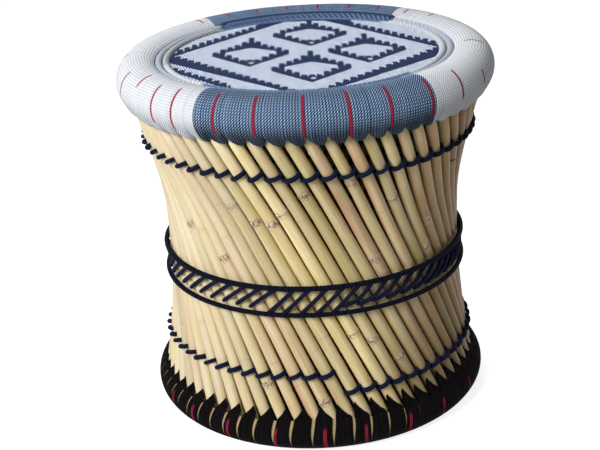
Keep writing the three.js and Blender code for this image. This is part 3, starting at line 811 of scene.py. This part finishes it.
def addBase():
    # Columns of cord stand upright between two partings. top(s) = partings' height + reach
    # x (half round + half spike) falls from the gap between the canes to both partings.
    strands, samples, frozen = base["strands"], base["samples"], base["countHeight"]
    cane = np.arange(caneCount + 1) + base["firstGap"] - 0.5
    bearing = (np.degrees(caneAzimuth(cane, frozen)) + 180) % 360 - 180
    random = seeded(52)
    slits, widths, tops, tooth = [
        np.interp(bearing, partings[0], row) for row in partings[1:]
    ]
    slits = slits + cane
    slits[:-1] += random.uniform(-0.04, 0.04, caneCount)
    slits[-1] = slits[0] + caneCount
    inner = np.arange(strands * samples + 1) / (strands * samples)
    share = np.concatenate([[0, 0], inner, [1]])  # place between the partings
    kind = np.concatenate([[2, 1], np.zeros(len(inner)), [1]])  # parting's middle, edge, cord
    side = np.where(share < 0.5, 1, -1) * (kind < 2)
    crown = np.abs(np.sin(math.pi * share * strands)) * (kind == 0)
    width = len(share)
    columnStrand = (np.arange(caneCount)[:, None] * strands + share * strands).ravel()
    peaks = stationAt(np.degrees(caneAzimuth(cane + 0.5, tops + tooth - 3)), frozen)
    peaks += caneCount * np.round((cane + 0.5 - peaks) / caneCount)
    first, last = slits[:-1, None], slits[1:, None]
    station = first + (last - first) * share
    peak = np.clip(peaks[:-1, None], first + 0.04, last - 0.04)
    before, after = (peak - station) / (peak - first), (station - peak) / (last - peak)
    run = np.clip(np.where(station < peak, before, after), 0, 1)
    form = 0.36 * np.sqrt(1 - run**2) + 0.64 * (1 - run) ** 1.9
    form = np.maximum(form, 0.35 * np.sqrt(1 - (2 * share - 1) ** 2))
    reach = tooth[:-1, None] + random.normal(0, 1.0, (caneCount, 1))
    valley = tops[:-1, None] * (1 - share) + tops[1:, None] * share
    top = (valley + reach * form).ravel()[:, None]

    # rows stand closer at the foot: 1 - cos(0.6 pi x step), as a share of the last
    step = 1 - np.cos(math.pi * 0.6 * np.linspace(0, 1, base["outerRows"]))
    height = top * step / step[-1]
    kind, side, columnCrown, tiled = [
        np.tile(row, caneCount)[:, None] for row in (kind, side, crown, share)
    ]
    start, unit, widthFirst, widthLast = [
        np.repeat(row, width)[:, None]
        for row in (slits[:-1], slits[1:] - slits[:-1], widths[:-1], widths[1:])
    ]

    def placed(level):
        # the parting opens upward, w = low + half x smooth step, and all bends like a bracket
        half = base["slitLow"] + base["slitHalf"] * smoothStep((level - 5) / 28)
        half = half / base["unitWidth"] / unit
        halfFirst, halfLast = half * widthFirst, half * widthLast
        edges = tiled + 0.8 * np.where(side > 0, halfFirst, -halfLast)
        squeezed = halfFirst + (1 - halfFirst - halfLast) * tiled
        q = np.where(kind == 2, 0.0, np.where(kind == 1, edges, squeezed))
        bend = base["curve"] * np.sin(math.pi * np.clip(level, 0, 36) / 36)
        return caneAzimuth(start + unit * q - bend, frozen)

    opened = smoothStep((height - 5) / 4)
    cut = base["relief"] * (1 - columnCrown) * (kind == 0)
    cut = cut + np.where(kind == 1, base["slitDepth"] + 0.5, 0.5 * (kind == 2)) * opened
    radius = baseRadiusAt(placed(height), height) - cut * smoothStep(height / 3)
    inside = np.array(base["innerSection"])
    innerRelief = np.zeros(len(inside))
    innerRelief[7:15] = 0.45
    innerRadius = inside[:, 0] + innerRelief * (1 - columnCrown)
    innerHeight = np.broadcast_to(inside[:, 1], innerRadius.shape)
    lipRadius = radius[:, -1:] - np.array([[0.5, 1.3]])
    lipHeight = height[:, -1:] + np.array([[0.4, 0.0]])
    allRadius = np.concatenate([radius, lipRadius, innerRadius], axis=1)
    allHeight = np.concatenate([height, lipHeight, innerHeight], axis=1)
    azimuth = placed(allHeight)
    steps = np.hypot(np.diff(allRadius, axis=1), np.diff(allHeight, axis=1))
    length = np.concatenate([np.zeros((len(top), 1)), np.cumsum(steps, axis=1)], axis=1)
    tone = seeded(51).normal(0, 1, caneCount * strands + 1)
    tone = tone[np.floor(columnStrand).astype(int)][:, None]
    accent = np.zeros(allHeight.shape)
    for middle in base["accents"]:
        spot = stationAt(middle, frozen)
        spot = slits[0] + (spot - slits[0]) % caneCount
        k = int(np.searchsorted(slits, spot, side="right")) - 1
        number = k * strands + int((spot - slits[k]) / (slits[k + 1] - slits[k]) * strands)
        mine = np.isin(np.floor(columnStrand), (number, number + 1))[:, None]
        mine = mine * (columnCrown > 0.5)
        accent += mine * smoothStep((allHeight - 2) / 3) * smoothStep((31 - allHeight) / 4)
    accent[:, base["outerRows"] :] = 0
    slitShown = (kind > 0) * smoothStep((allHeight - 4) / 5)
    slitShown = slitShown * smoothStep(np.where(side < 0, widthLast, widthFirst) / 0.3)
    slitShown[:, base["outerRows"] + 1 :] = 0

    half, cut = len(columnStrand) // 2, 2 + samples * base["firstTurn"]
    columns = (allRadius, azimuth, allHeight, columnStrand, length)
    values = {"tone": tone, "accent": accent, "slit": slitShown}
    for k, name in enumerate(("front", "back")):
        addWrap(
            "baseCord_" + name, k * half + cut, (k + 1) * half + cut, columns, base, values,
            blackCord, "black_cord", "base_wrap_" + name,
        )


addBase()
print("base made")


# ropes laid round the stool
def ropeRing(name, ringRadius, height, rope, start=None, end=None, tone=None, thin=None,
             tail=0.0):
    # m plies of radius d lie twisted round the rope's middle. Seen square to the rope, a
    # ply's back is at r = d cos a + root of (d^2 - d^2 sin^2 a), a from the ply's middle.
    # thin(azimuth) is the share by which the rope is drawn in, and tail a point's length.
    closed = start is None
    start, end = (0.0, turn) if closed else (start, end + tail / ringRadius)
    turns = max(1, round((end - start) * ringRadius / rope["lay"]))
    count = turns * rope["rowsPerTurn"] + (0 if closed else 1)
    along = np.linspace(start, end, count, endpoint=not closed)
    less = np.zeros(count) if thin is None else thin(along)
    path = polar(ringRadius - less * rope.get("drawIn", 0.0), along, height)[None]
    sides, plies = rope["sides"], rope["plies"]
    angle = np.arange(sides) * turn / sides
    twist = (np.arange(count) / rope["rowsPerTurn"])[:, None] * turn
    local = (angle - twist * rope.get("hand", 1)) * plies / turn
    local = (local - np.round(local)) * turn / plies
    plyRadius = rope["radius"] / (1 + 1 / math.sin(math.pi / plies))
    offset = rope["radius"] - plyRadius
    inside = np.clip(plyRadius**2 - (offset * np.sin(local)) ** 2, 0, None)
    least = rope["radius"] * (1 - rope["depth"])
    size = np.maximum(offset * np.cos(local) + np.sqrt(inside), least)
    # painted shade in the grooves between the plies, by their depth
    groove = np.clip((rope["radius"] - size) / (rope["radius"] - least), 0, 1) ** 1.5
    size = size * (1 - less * rope.get("drawThin", 0.0))[:, None]
    if not closed:
        rounding = 1.5 * rope["radius"]
        far = np.clip((end - along) * ringRadius / max(tail, rounding), 0, 1)
        near = np.clip((along - start) * ringRadius / rounding, 0, 1)
        size = size * (0.12 + 0.88 * np.sqrt(smoothStep(np.minimum(far, near))))[:, None]
    points = sweep(path, size[None], sides, closed, wide=rope.get("wide", 1.0))
    # the edge rope's painted groove shade is full only between two azimuths
    if "dim" in rope:
        strong = betweenAzimuths(along, *borders["paintedGrooveShadeSpan"])
        groove = groove * (1 - rope["dim"] * (1 - strong))[:, None]
    shade = np.zeros(count) if tone is None else tone(along)
    values = {
        "shade": np.broadcast_to(shade[None, :, None], points.shape[:3]), "groove": groove[None]
    }
    return gridObject(name, points, tubeUv(path, sides, closed), closedU=closed, values=values)


borders = {
    "height": 390.0,
    "edgeRope": {
        "radius": 3.9, "plies": 3, "lay": 16.0, "rowsPerTurn": 12, "sides": 18, "depth": 0.26,
        "hand": -1, "drawIn": 2.3, "drawThin": 0.56, "dim": 0.6,
    },
    "whiteRoll": {
        "radius": 3.9, "plies": 4, "lay": 30.0, "rowsPerTurn": 12, "sides": 16, "depth": 0.07,
        "hand": -1,
    },
    "blueRoll": {
        "radius": 4.4, "wide": 1.34, "plies": 4, "lay": 25.0, "rowsPerTurn": 16, "sides": 24,
        "depth": 0.22, "hand": -1,
    },
    "thinRoll": {
        "radius": 1.9, "plies": 3, "lay": 12.0, "rowsPerTurn": 6, "sides": 12, "depth": 0.12,
        "hand": -1,
    },
    "edgeRing": 149.7, "borderRing": 158.0, "wideRing": 155.3, "thinRing": 160.3,
    "thinHeight": 394.4,
    "paintedGrooveShadeSpan": (126, 190),  # azimuths between which the edge rope's grooves get their full painted shade
}


def betweenAzimuths(azimuth, first, last):
    # 1 between two azimuths in degrees, with soft ends 3 degrees long
    place = (np.degrees(azimuth) - first) % 360
    return smoothStep(place / 3) * (1 - smoothStep((place - (last - first)) / 3)) * (place < 200)


def edgeShade(azimuth):
    # the edge rope is blue beside the blue cord of the front and the back
    return betweenAzimuths(azimuth, 50, 127) + betweenAzimuths(azimuth, -135, -47)


def edgeThin(azimuth):
    # the edge rope is drawn in where the back's wide blue roll lies over it
    return betweenAzimuths(azimuth, 46, 131)


def addBorders():
    edge = ropeRing(
        "seatEdgeRope", borders["edgeRing"], borders["height"], borders["edgeRope"],
        tone=edgeShade, thin=edgeThin,
    )
    finishPiece(edge, edgeRope, "seat_cord", "seat_edge_rope")
    for side, first, last, kind in rim["colours"]:
        start = float(caneAzimuth(rim["firstGap"] + first, rimHeight)) + 0.001
        end = float(caneAzimuth(rim["firstGap"] + last, rimHeight)) - 0.001
        if side == "back_blue":
            rolls = [
                ("seatBorder_", borders["wideRing"], borders["height"] + 0.4, "blueRoll"),
                ("seatBorderRoll_", borders["thinRing"], borders["thinHeight"], "thinRoll"),
            ]
        else:
            rolls = [("seatBorder_", borders["borderRing"], borders["height"], "whiteRoll")]
        start += 0.05 if side == "front_blue" else 0.0
        tail = 9.0 if side == "left_white" else 0.0
        for name, ring, height, rope in rolls:
            roll = ropeRing(name + side, ring, height, borders[rope], start, end, tail=tail)
            material = blueRope if kind == "blue" else whiteRope
            finishPiece(roll, material, kind + "_cord", "seat_border_" + side)


addBorders()
print("borders made")

# the woven seat
seat = {
    "radius": 145.5, "top": 390.0, "thickness": 4.0,
    "stitchWidth": 2.75, "stitchLength": 9.6,
    "lean": 0.27,  # sideways run of a stitch for its length
    "rowsPerStitch": 5, "columnsPerStitch": 3, "ridge": 0.8, "joint": 0.12,
    # the white and the navy cord, each with the painted shade of its grooves
    "light": "#fbffff", "lightGroove": "#476fab", "dark": "#1e3765", "darkGroove": "#040915",
    "middle": (2.1, 6.1), "shear": 0.07,
    "pitch": 7.75, "finger": 6.2,  # from one finger of the pattern to the next, and its width
    "rings": [(-60.4, -1.1), (66.1, -0.6), (5.6, 74.0), (4.7, -65.7)],
    "ringHalf": 42.0,
    "ringSteps": [68, 50, 37, 29, 21, 10, 4],  # finger tops above the ring's middle
    "ringInside": [-25, -25, -14, -4, 4, 8],
    # edges of the pattern, y = a - b|x| as (a, b): the band at the back, its flat middle and
    # its fingers, the bands at the front with the x where they end, and a ring's own edges
    "backEdge": (160, 1.13), "backFlat": 134, "backFingers": (12, 24), "backWhole": 55,
    "frontBands": [((156, 1.1), (169, 0.95), 150), ((207.5, 1.14), (225.5, 1.14), -78)],
    "ringFoot": (53, 1.08), "ringOpening": (23.5, 0.6), "openingHalf": 28,
    "dot": (1.5, -38.5), "dotHalf": (2.8, 3.8), "gapDrop": 7, "ringGapDrop": 6,
}


def slant(line, across):
    # an edge of the pattern: y = a - b|x|
    return line[0] - line[1] * across


def onFinger(place):
    # within half a finger's width of a whole number of pitches
    part = place / seat["pitch"]
    return np.abs(part - np.round(part)) * seat["pitch"] < seat["finger"] / 2


def stepped(place, steps):
    # heights on the fingers, by their number from the middle, and lower in the gaps
    part = np.abs(place) / seat["pitch"]
    steps = np.array(steps, dtype=float)
    number = np.clip(np.round(part).astype(int), 0, len(steps) - 1)
    low = np.clip(np.floor(part).astype(int), 0, len(steps) - 2)
    gap = np.minimum(steps[low], steps[low + 1]) - seat["ringGapDrop"]
    return np.where(onFinger(place), steps[number], gap)


def seatPattern(x, y):
    # 1 where the weave is navy. Lower edges are straight, y = a + b|x|, and upper edges end
    # in upright fingers with gaps between them.
    px = x - seat["middle"][0]
    py = y - seat["middle"][1] + seat["shear"] * px
    across = np.abs(px)
    gap = ~onFinger(px)
    stepAcross = np.where(gap, across, np.abs(np.round(px / seat["pitch"])) * seat["pitch"])
    inside = np.minimum(slant(seat["backEdge"], across), seat["backFlat"])
    outside = np.minimum(slant(seat["backEdge"], stepAcross), seat["backFlat"])
    outside = outside + np.where(gap, *seat["backFingers"])
    navy = (py > inside) & ((py < outside) | (across < seat["backWhole"]))
    drop = np.where(gap, seat["gapDrop"], 0)
    for upper, lower, end in seat["frontBands"]:
        band = (py < -slant(upper, stepAcross) - drop) & (py > -slant(lower, across))
        navy |= band & (px < end)
    for ringX, ringY in seat["rings"]:
        dx, dy = px - ringX, py - ringY
        ring = (np.abs(dx) < seat["ringHalf"]) & (dy < stepped(dx, seat["ringSteps"]))
        ring &= dy > -slant(seat["ringFoot"], np.abs(dx))
        white = np.abs(dx) < seat["openingHalf"]
        white &= dy < slant(seat["ringOpening"], np.abs(dx))
        white &= dy > stepped(dx, seat["ringInside"])
        dotX, dotY = [
            (at - middle) / half
            for at, middle, half in zip((dx, dy), seat["dot"], seat["dotHalf"])
        ]
        white |= dotX**2 + dotY**2 < 1
        navy |= ring & ~white
    return navy


def addSeat():
    # stitches lie in columns that lean, s = x + lean y, and every other column is moved
    # half a stitch along, as in twill. Height = ridge across and a dip at each joint.
    width, length, radius = seat["stitchWidth"], seat["stitchLength"], seat["radius"]
    perColumn, perRow = seat["columnsPerStitch"], seat["rowsPerStitch"]
    reachX = math.ceil(radius * math.hypot(1, seat["lean"]) * 1.02 / width) + 1
    reachY = math.ceil(radius / length) + 1
    columns = np.arange(-reachX * perColumn, reachX * perColumn + 1)
    rows = np.arange(-reachY * perRow, reachY * perRow + 1)
    s, y = columns * (width / perColumn), rows * (length / perRow)
    x = s[:, None] - seat["lean"] * y[None, :]
    y = np.broadcast_to(y[None, :], x.shape)
    columnNumber = np.floor(columns / perColumn).astype(int)[:, None]
    ridge = np.sin(math.pi * (columns % perColumn) / perColumn)[:, None]
    joint = np.abs(np.sin(math.pi * (y / length + 0.5 * (columnNumber % 2)))) ** 6
    lift = seat["ridge"] * (ridge - 1) - seat["joint"] * joint * ridge
    spot = np.hypot(x, y)
    inside = spot <= radius
    scale = np.where(inside, 1, radius / np.maximum(spot, 1))
    top = np.stack([x * scale, y * scale, seat["top"] + lift], -1)
    bottom = top.copy()
    bottom[..., 2] = seat["top"] - seat["thickness"] - lift * 0.9
    quadIn = inside[:-1, :-1] | inside[1:, :-1] | inside[1:, 1:] | inside[:-1, 1:]
    i, j = np.nonzero(quadIn)
    corners = [(i, j), (i + 1, j), (i + 1, j + 1), (i, j + 1)]
    used = np.zeros(x.shape, dtype=bool)
    for corner in corners:
        used[corner] = True
    offset = int(used.sum())
    number = np.full(x.shape, -1)
    number[used] = np.arange(offset)
    topFaces = np.stack([number[corner] for corner in corners], axis=-1)
    walls = []
    padded = np.pad(quadIn, 1)
    for (di, dj), (first, second) in (
        ((0, -1), (0, 1)), ((1, 0), (1, 2)), ((0, 1), (2, 3)), ((-1, 0), (3, 0)),
    ):
        free = ~padded[i + 1 + di, j + 1 + dj]
        a, b = topFaces[free, first], topFaces[free, second]
        walls.append(np.stack([b, a, a + offset, b + offset], axis=-1))
    walls = np.concatenate(walls)
    faces = np.concatenate([topFaces, topFaces[:, ::-1] + offset, walls])
    points = np.concatenate([top[used], bottom[used]])
    quadColumn = np.floor((columns[:-1] + 0.5) / perColumn)[i]
    along = (rows[j] + 0.5) * (length / perRow) / length
    stitch = np.floor(along + 0.5 * (quadColumn % 2) + 0.5)
    middles = sum(top[corner] for corner in corners) / 4
    navy = seatPattern(middles[:, 0], middles[:, 1]).astype(float)
    hashed = np.abs(np.sin(quadColumn * 12.9898 + stitch * 78.233) * 43758.5453) % 1.0
    faceValues = {
        "navy": np.concatenate([navy, 1 - navy, np.zeros(len(walls))]),
        "stitchTone": np.concatenate([hashed, hashed, np.full(len(walls), 0.5)]),
    }
    flatPoints = points[faces.ravel()]
    uv = np.stack([flatPoints[:, 0] + seat["lean"] * flatPoints[:, 1], flatPoints[:, 1]], -1)
    piece = makeObject("wovenSeat", points, [faces], uv, faceValues=faceValues)
    finishPiece(piece, seatMaterial(), "seat_cord", "seat_panel")


def seatMaterial():
    # cotton cord woven in slanting stitches, white with navy diamonds: matt, with painted shade
    # in the groove beside each stitch and the cord's twist drawn across it as painted light and
    # shade
    material, add = newMaterial("wovenCottonSeat")
    u, v = uvParts(add)
    stitches = add("Math", [u, seat["stitchWidth"]], operation="DIVIDE")
    across = add("Math", [stitches], operation="FRACT")
    crown = turnCrown(add, across, 1.5)
    along = add("Math", [v, 1.6], operation="DIVIDE")  # millimetres to a ply
    ply = plyWave(add, add("Math", [across, 1.2, along], operation="MULTIPLY_ADD"))
    lit = add("Math", [ply, 0.25, 0.75], operation="MULTIPLY_ADD")
    light = add("Math", [crown, lit], operation="MULTIPLY")
    white, blue = [
        add("Mix", {0: light, 6: linear(seat[low]), 7: linear(seat[high])}, 2, data_type="RGBA")
        for low, high in (("lightGroove", "light"), ("darkGroove", "dark"))
    ]
    navy = add("Attribute", out="Fac", attribute_name="navy")
    colour = add("Mix", {0: navy, 6: white, 7: blue}, 2, data_type="RGBA")
    colour = toned(add, colour, "stitchTone", 0.24, 0.9)
    finishShader(add, colour, light, (0.4, 0.0004), {
        "Roughness": 0.8, "Specular IOR Level": 0.1,
    })
    return material


addSeat()
print("seat made")

# the lashings
lashing = {
    "twineRadius": 2.5, "upperFirst": 0.5, "upperRow": 312.0,
    "lowerFirst": -17.5, "lowerRow": 64.1, "lowerClimb": 20.0,
    "bandTop": 185.0, "bandBottom": 155.0, "strandRadius": 2.2,
    "strandSpan": 2.7,  # canes that a strand of the band crosses
    # left, right and middle: foot above the lower hoop, sag, canes aside, sink of the ends
    "strandSides": [(5.0, 0.95, 0.0, 1.6), (7.5, 1.9, 0.3, 1.0), (0.5, 1.05, 0.0, 1.0)],
    "upperHoop": {
        "radius": 3.1, "plies": 3, "lay": 11.0, "rowsPerTurn": 9, "sides": 12, "depth": 0.14,
    },
    "lowerHoop": {
        "radius": 2.8, "plies": 3, "lay": 11.0, "rowsPerTurn": 9, "sides": 12, "depth": 0.14,
    },
}


def stitches(index, height, sides=10, steps=13):
    # one stitch is an arc round its cane, square to the cane's axis, with both ends deep in
    # the gaps: P(f) = C + (R + r) cos f outward + g sin f across, g half the canes' spacing
    azimuth = canePhase + index * caneStep
    outward = polar(1.0, azimuth, 0.0)
    around = polar(1.0, azimuth + turn / 4, 0.0)
    sideways = outerSlope * (height - stool["waistHeight"])
    centre = outward * waistRadius - around * sideways[:, None]
    reach = np.hypot(centre[:, 0], centre[:, 1])
    centre[:, :2] *= (1 + caneFlare(height) / reach)[:, None]
    centre[:, 2] = height
    along = -around * outerSlope
    along[:, 2] = 1.0
    along /= np.linalg.norm(along, axis=1, keepdims=True)
    face = polar(1.0, np.arctan2(centre[:, 1], centre[:, 0]), 0.0)
    face -= along * np.sum(face * along, axis=1, keepdims=True)
    face /= np.linalg.norm(face, axis=1, keepdims=True)
    across = np.cross(along, face)
    bend = np.linspace(-1, 1, steps)
    angle = np.radians(108) * bend
    random = seeded(61)
    tilt = random.normal(0, 0.09, len(index))[:, None, None]
    proud = (caneSize(height) + lashing["twineRadius"] * 0.92)[:, None, None]
    halfGap = (reach + caneFlare(height)) * caneStep * leanCos / 2
    arc = proud * np.cos(angle)[None, :, None] * face[:, None]
    sideways = (halfGap[:, None] * 1.02 * np.sin(angle))[..., None]
    arc = arc + sideways * (across[:, None] + tilt * along[:, None])
    path = centre[:, None] + arc
    size = lashing["twineRadius"] * (1 - 0.45 * np.abs(bend) ** 10)
    size = size * (1 + random.normal(0, 0.06, len(index)))[:, None]
    # the section is carried with the cane's own outward, so that it doesn't flip
    return sweep(path, size[..., None], sides, away=arc), tubeUv(path, sides)


def addRow(name, node, firstGap, height, climb):
    # a stitch on every cane, at height + climb x the share of the way round
    step = np.arange(caneCount)
    level = height + climb * (step + 0.5) / caneCount
    piece = gridObject(name, *stitches(firstGap + 0.5 + step, level))
    finishPiece(piece, navyTwine, "navy_cord", node)


def addBand():
    for name, place, rope, node in (
        ("bandUpperHoop", lashing["bandTop"], lashing["upperHoop"], "band_upper_hoop"),
        ("bandLowerHoop", lashing["bandBottom"], lashing["lowerHoop"], "band_lower_hoop_lacing"),
    ):
        ring = float(outerAxis(place)) + stool["caneRadius"] + 0.3 + rope["radius"]
        finishPiece(ropeRing(name, ring, place, rope), navyTwine, "navy_cord", node)

    # Strands climb from a gap to the upper hoop. On the left they end above the lower hoop,
    # in the middle they reach it, and on the right they sag before they climb. A strand
    # lies on the canes, r = ring of axes + cane + its own radius, lifted by rise.
    random = seeded(71)
    gap = np.arange(caneCount) + 0.5 + random.uniform(-0.05, 0.05, caneCount)
    share = np.array([0, 0.02, 0.06, 0.14, 0.25, 0.4, 0.55, 0.7, 0.8, 0.87, 0.92, 0.96, 0.985, 1])
    bearing = (np.degrees(caneAzimuth(gap + 1, 170.0)) + 180) % 360 - 180
    left = (bearing < -106) | (bearing > 150)
    right = (bearing > -76) & (bearing <= 150)
    side = np.where(left, 0, np.where(right, 1, 2))
    foot, sag, aside, sink = np.array(lashing["strandSides"])[side].T[..., None]
    bottom = lashing["bandBottom"] + (foot + random.uniform(-0.6, 0.6, caneCount)[:, None])
    top = lashing["bandTop"] + 0.5
    height = bottom + (top - bottom) * share**sag
    station = gap[:, None] + lashing["strandSpan"] * share - aside
    rise = 1.5 * smoothStep((height - (lashing["bandTop"] - 8)) / 6)
    rise = rise - 1.5 * smoothStep((height - (lashing["bandTop"] - 1)) / 1.4)
    rise = rise - sink * (1 - smoothStep(share / 0.1))
    radius = outerAxis(height) + stool["caneRadius"] + lashing["strandRadius"] * 0.9 + rise
    path = polar(radius, caneAzimuth(station, height), height)
    ends = np.clip(np.minimum(share, 1 - share) / 0.06, 0, 1)
    size = lashing["strandRadius"] * np.sqrt(0.12 + 0.88 * (1 - (1 - ends) ** 2))
    piece = gridObject("bandLacing", sweep(path, size[None, :, None], 10), tubeUv(path, 10))
    finishPiece(piece, navyTwine, "navy_cord", "band_lower_hoop_lacing")


addRow("upperTwine", "upper_twine", lashing["upperFirst"], lashing["upperRow"], 0.0)
addRow(
    "lowerTwine", "lower_twine", lashing["lowerFirst"], lashing["lowerRow"], lashing["lowerClimb"]
)
addBand()
print("lashings made")

# nodes kept from the solid model
for nodeName, material in (
    ("rim_crown_bundle", grass), ("base_grass_core", grass), ("rim_inner_hoop", splitCane)
):
    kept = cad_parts[nodeName]
    kept.data.materials.clear()
    kept.data.materials.append(material)

# floor, light and camera
studio = {
    "floorColour": "#c4c4c4", "floorGlow": 0.84, "floorHalf": 6.0,
    "dimInside": 0.172,  # no glow on the floor under the stool, within this radius
    "worldGrey": 0.16,
    "lamps": [  # name, place in metres, power, width
        ("keyLight", (-1.12, -1.54, 1.45), 46.5, 0.9),
        ("backLight", (-0.3, 1.3, 1.9), 18.0, 1.2),
        ("fillLight", (1.6, -0.9, 1.0), 0.8, 1.2),
    ],
    "lampAim": (0, 0, 0.2),
}


def seenRays(add):
    # 1 for a ray from the camera, or one that a glossy or clear surface sends on
    path = add("LightPath")[0]
    both = add("Math", [(path, "Is Glossy Ray"), (path, "Is Transmission Ray")],
               operation="MAXIMUM")
    return add("Math", [(path, "Is Camera Ray"), both], operation="MAXIMUM")


def addStudio():
    # a wide pale floor that looks white to the camera and still takes the shadow
    mesh = bpy.data.meshes.new("floor")
    half = studio["floorHalf"]
    mesh.from_pydata(
        [(-half, -half, 0), (half, -half, 0), (half, half, 0), (-half, half, 0)], [],
        [(0, 1, 2, 3)],
    )
    floor = bpy.data.objects.new("floor", mesh)
    bpy.context.scene.collection.objects.link(floor)
    material, add = newMaterial("paleFloor")
    plain = add("BsdfDiffuse", {"Color": linear(studio["floorColour"])})
    place = add("TexCoord", out="Object")
    reach = add("VectorMath", [place], "Value", operation="LENGTH")
    outside = add("Math", [reach, studio["dimInside"]], operation="GREATER_THAN")
    glowing = add("Math", [seenRays(add), studio["floorGlow"]], operation="MULTIPLY")
    strength = add("Math", [glowing, outside], operation="MULTIPLY")
    glow = add("Emission", {"Color": linear("#ffffff"), "Strength": strength})
    add("OutputMaterial", {"Surface": add("AddShader", [plain, glow])})
    floor.data.materials.append(material)

    world = bpy.data.worlds.new("studio")
    bpy.context.scene.world = world
    world.use_nodes = True
    world.node_tree.nodes.clear()
    add = functools.partial(addNode, world.node_tree)
    dim, bright = [
        add("Background", {"Color": [grey, grey, grey, 1], "Strength": 1.0})
        for grey in (studio["worldGrey"], 1)
    ]
    add("OutputWorld", {"Surface": add("MixShader", [seenRays(add), dim, bright])})

    for name, place, power, width in studio["lamps"]:
        lamp = bpy.data.lights.new(name, "AREA")
        lamp.energy = power
        lamp.size = width
        lampObject = bpy.data.objects.new(name, lamp)
        bpy.context.scene.collection.objects.link(lampObject)
        lampObject.location = place
        aim = Vector(studio["lampAim"]) - Vector(place)
        lampObject.rotation_mode = "QUATERNION"
        lampObject.rotation_quaternion = aim.to_track_quat("-Z", "Y")


view = {
    "place": (-0.0000103, -1.4752274, 0.7936359),
    "pitch": 0.3893,  # down, in radians
    "yaw": -0.0101, "roll": -0.0565,
    "focal": 1399.4475,  # in pixels of a picture 600 wide
    "sensor": 36.0,
}


def addCamera():
    forward = Vector((
        math.sin(view["yaw"]) * math.cos(view["pitch"]),
        math.cos(view["yaw"]) * math.cos(view["pitch"]),
        -math.sin(view["pitch"]),
    ))
    right = forward.cross(Vector((0, 0, 1))).normalized()
    up = right.cross(forward)
    c, s = math.cos(view["roll"]), math.sin(view["roll"])
    turnedRight, turnedUp = right * c + up * s, up * c - right * s
    data = bpy.data.cameras.new("camera")
    data.sensor_width = view["sensor"]
    data.lens = view["focal"] * view["sensor"] / 600
    data.clip_start, data.clip_end = 0.05, 50.0
    camera = bpy.data.objects.new("camera", data)
    bpy.context.scene.collection.objects.link(camera)
    basis = Matrix((turnedRight, turnedUp, -forward)).transposed().to_4x4()
    camera.matrix_world = Matrix.Translation(Vector(view["place"])) @ basis
    bpy.context.scene.camera = camera
    bpy.context.scene.view_settings.view_transform = "Standard"


addStudio()
addCamera()
print("studio made")
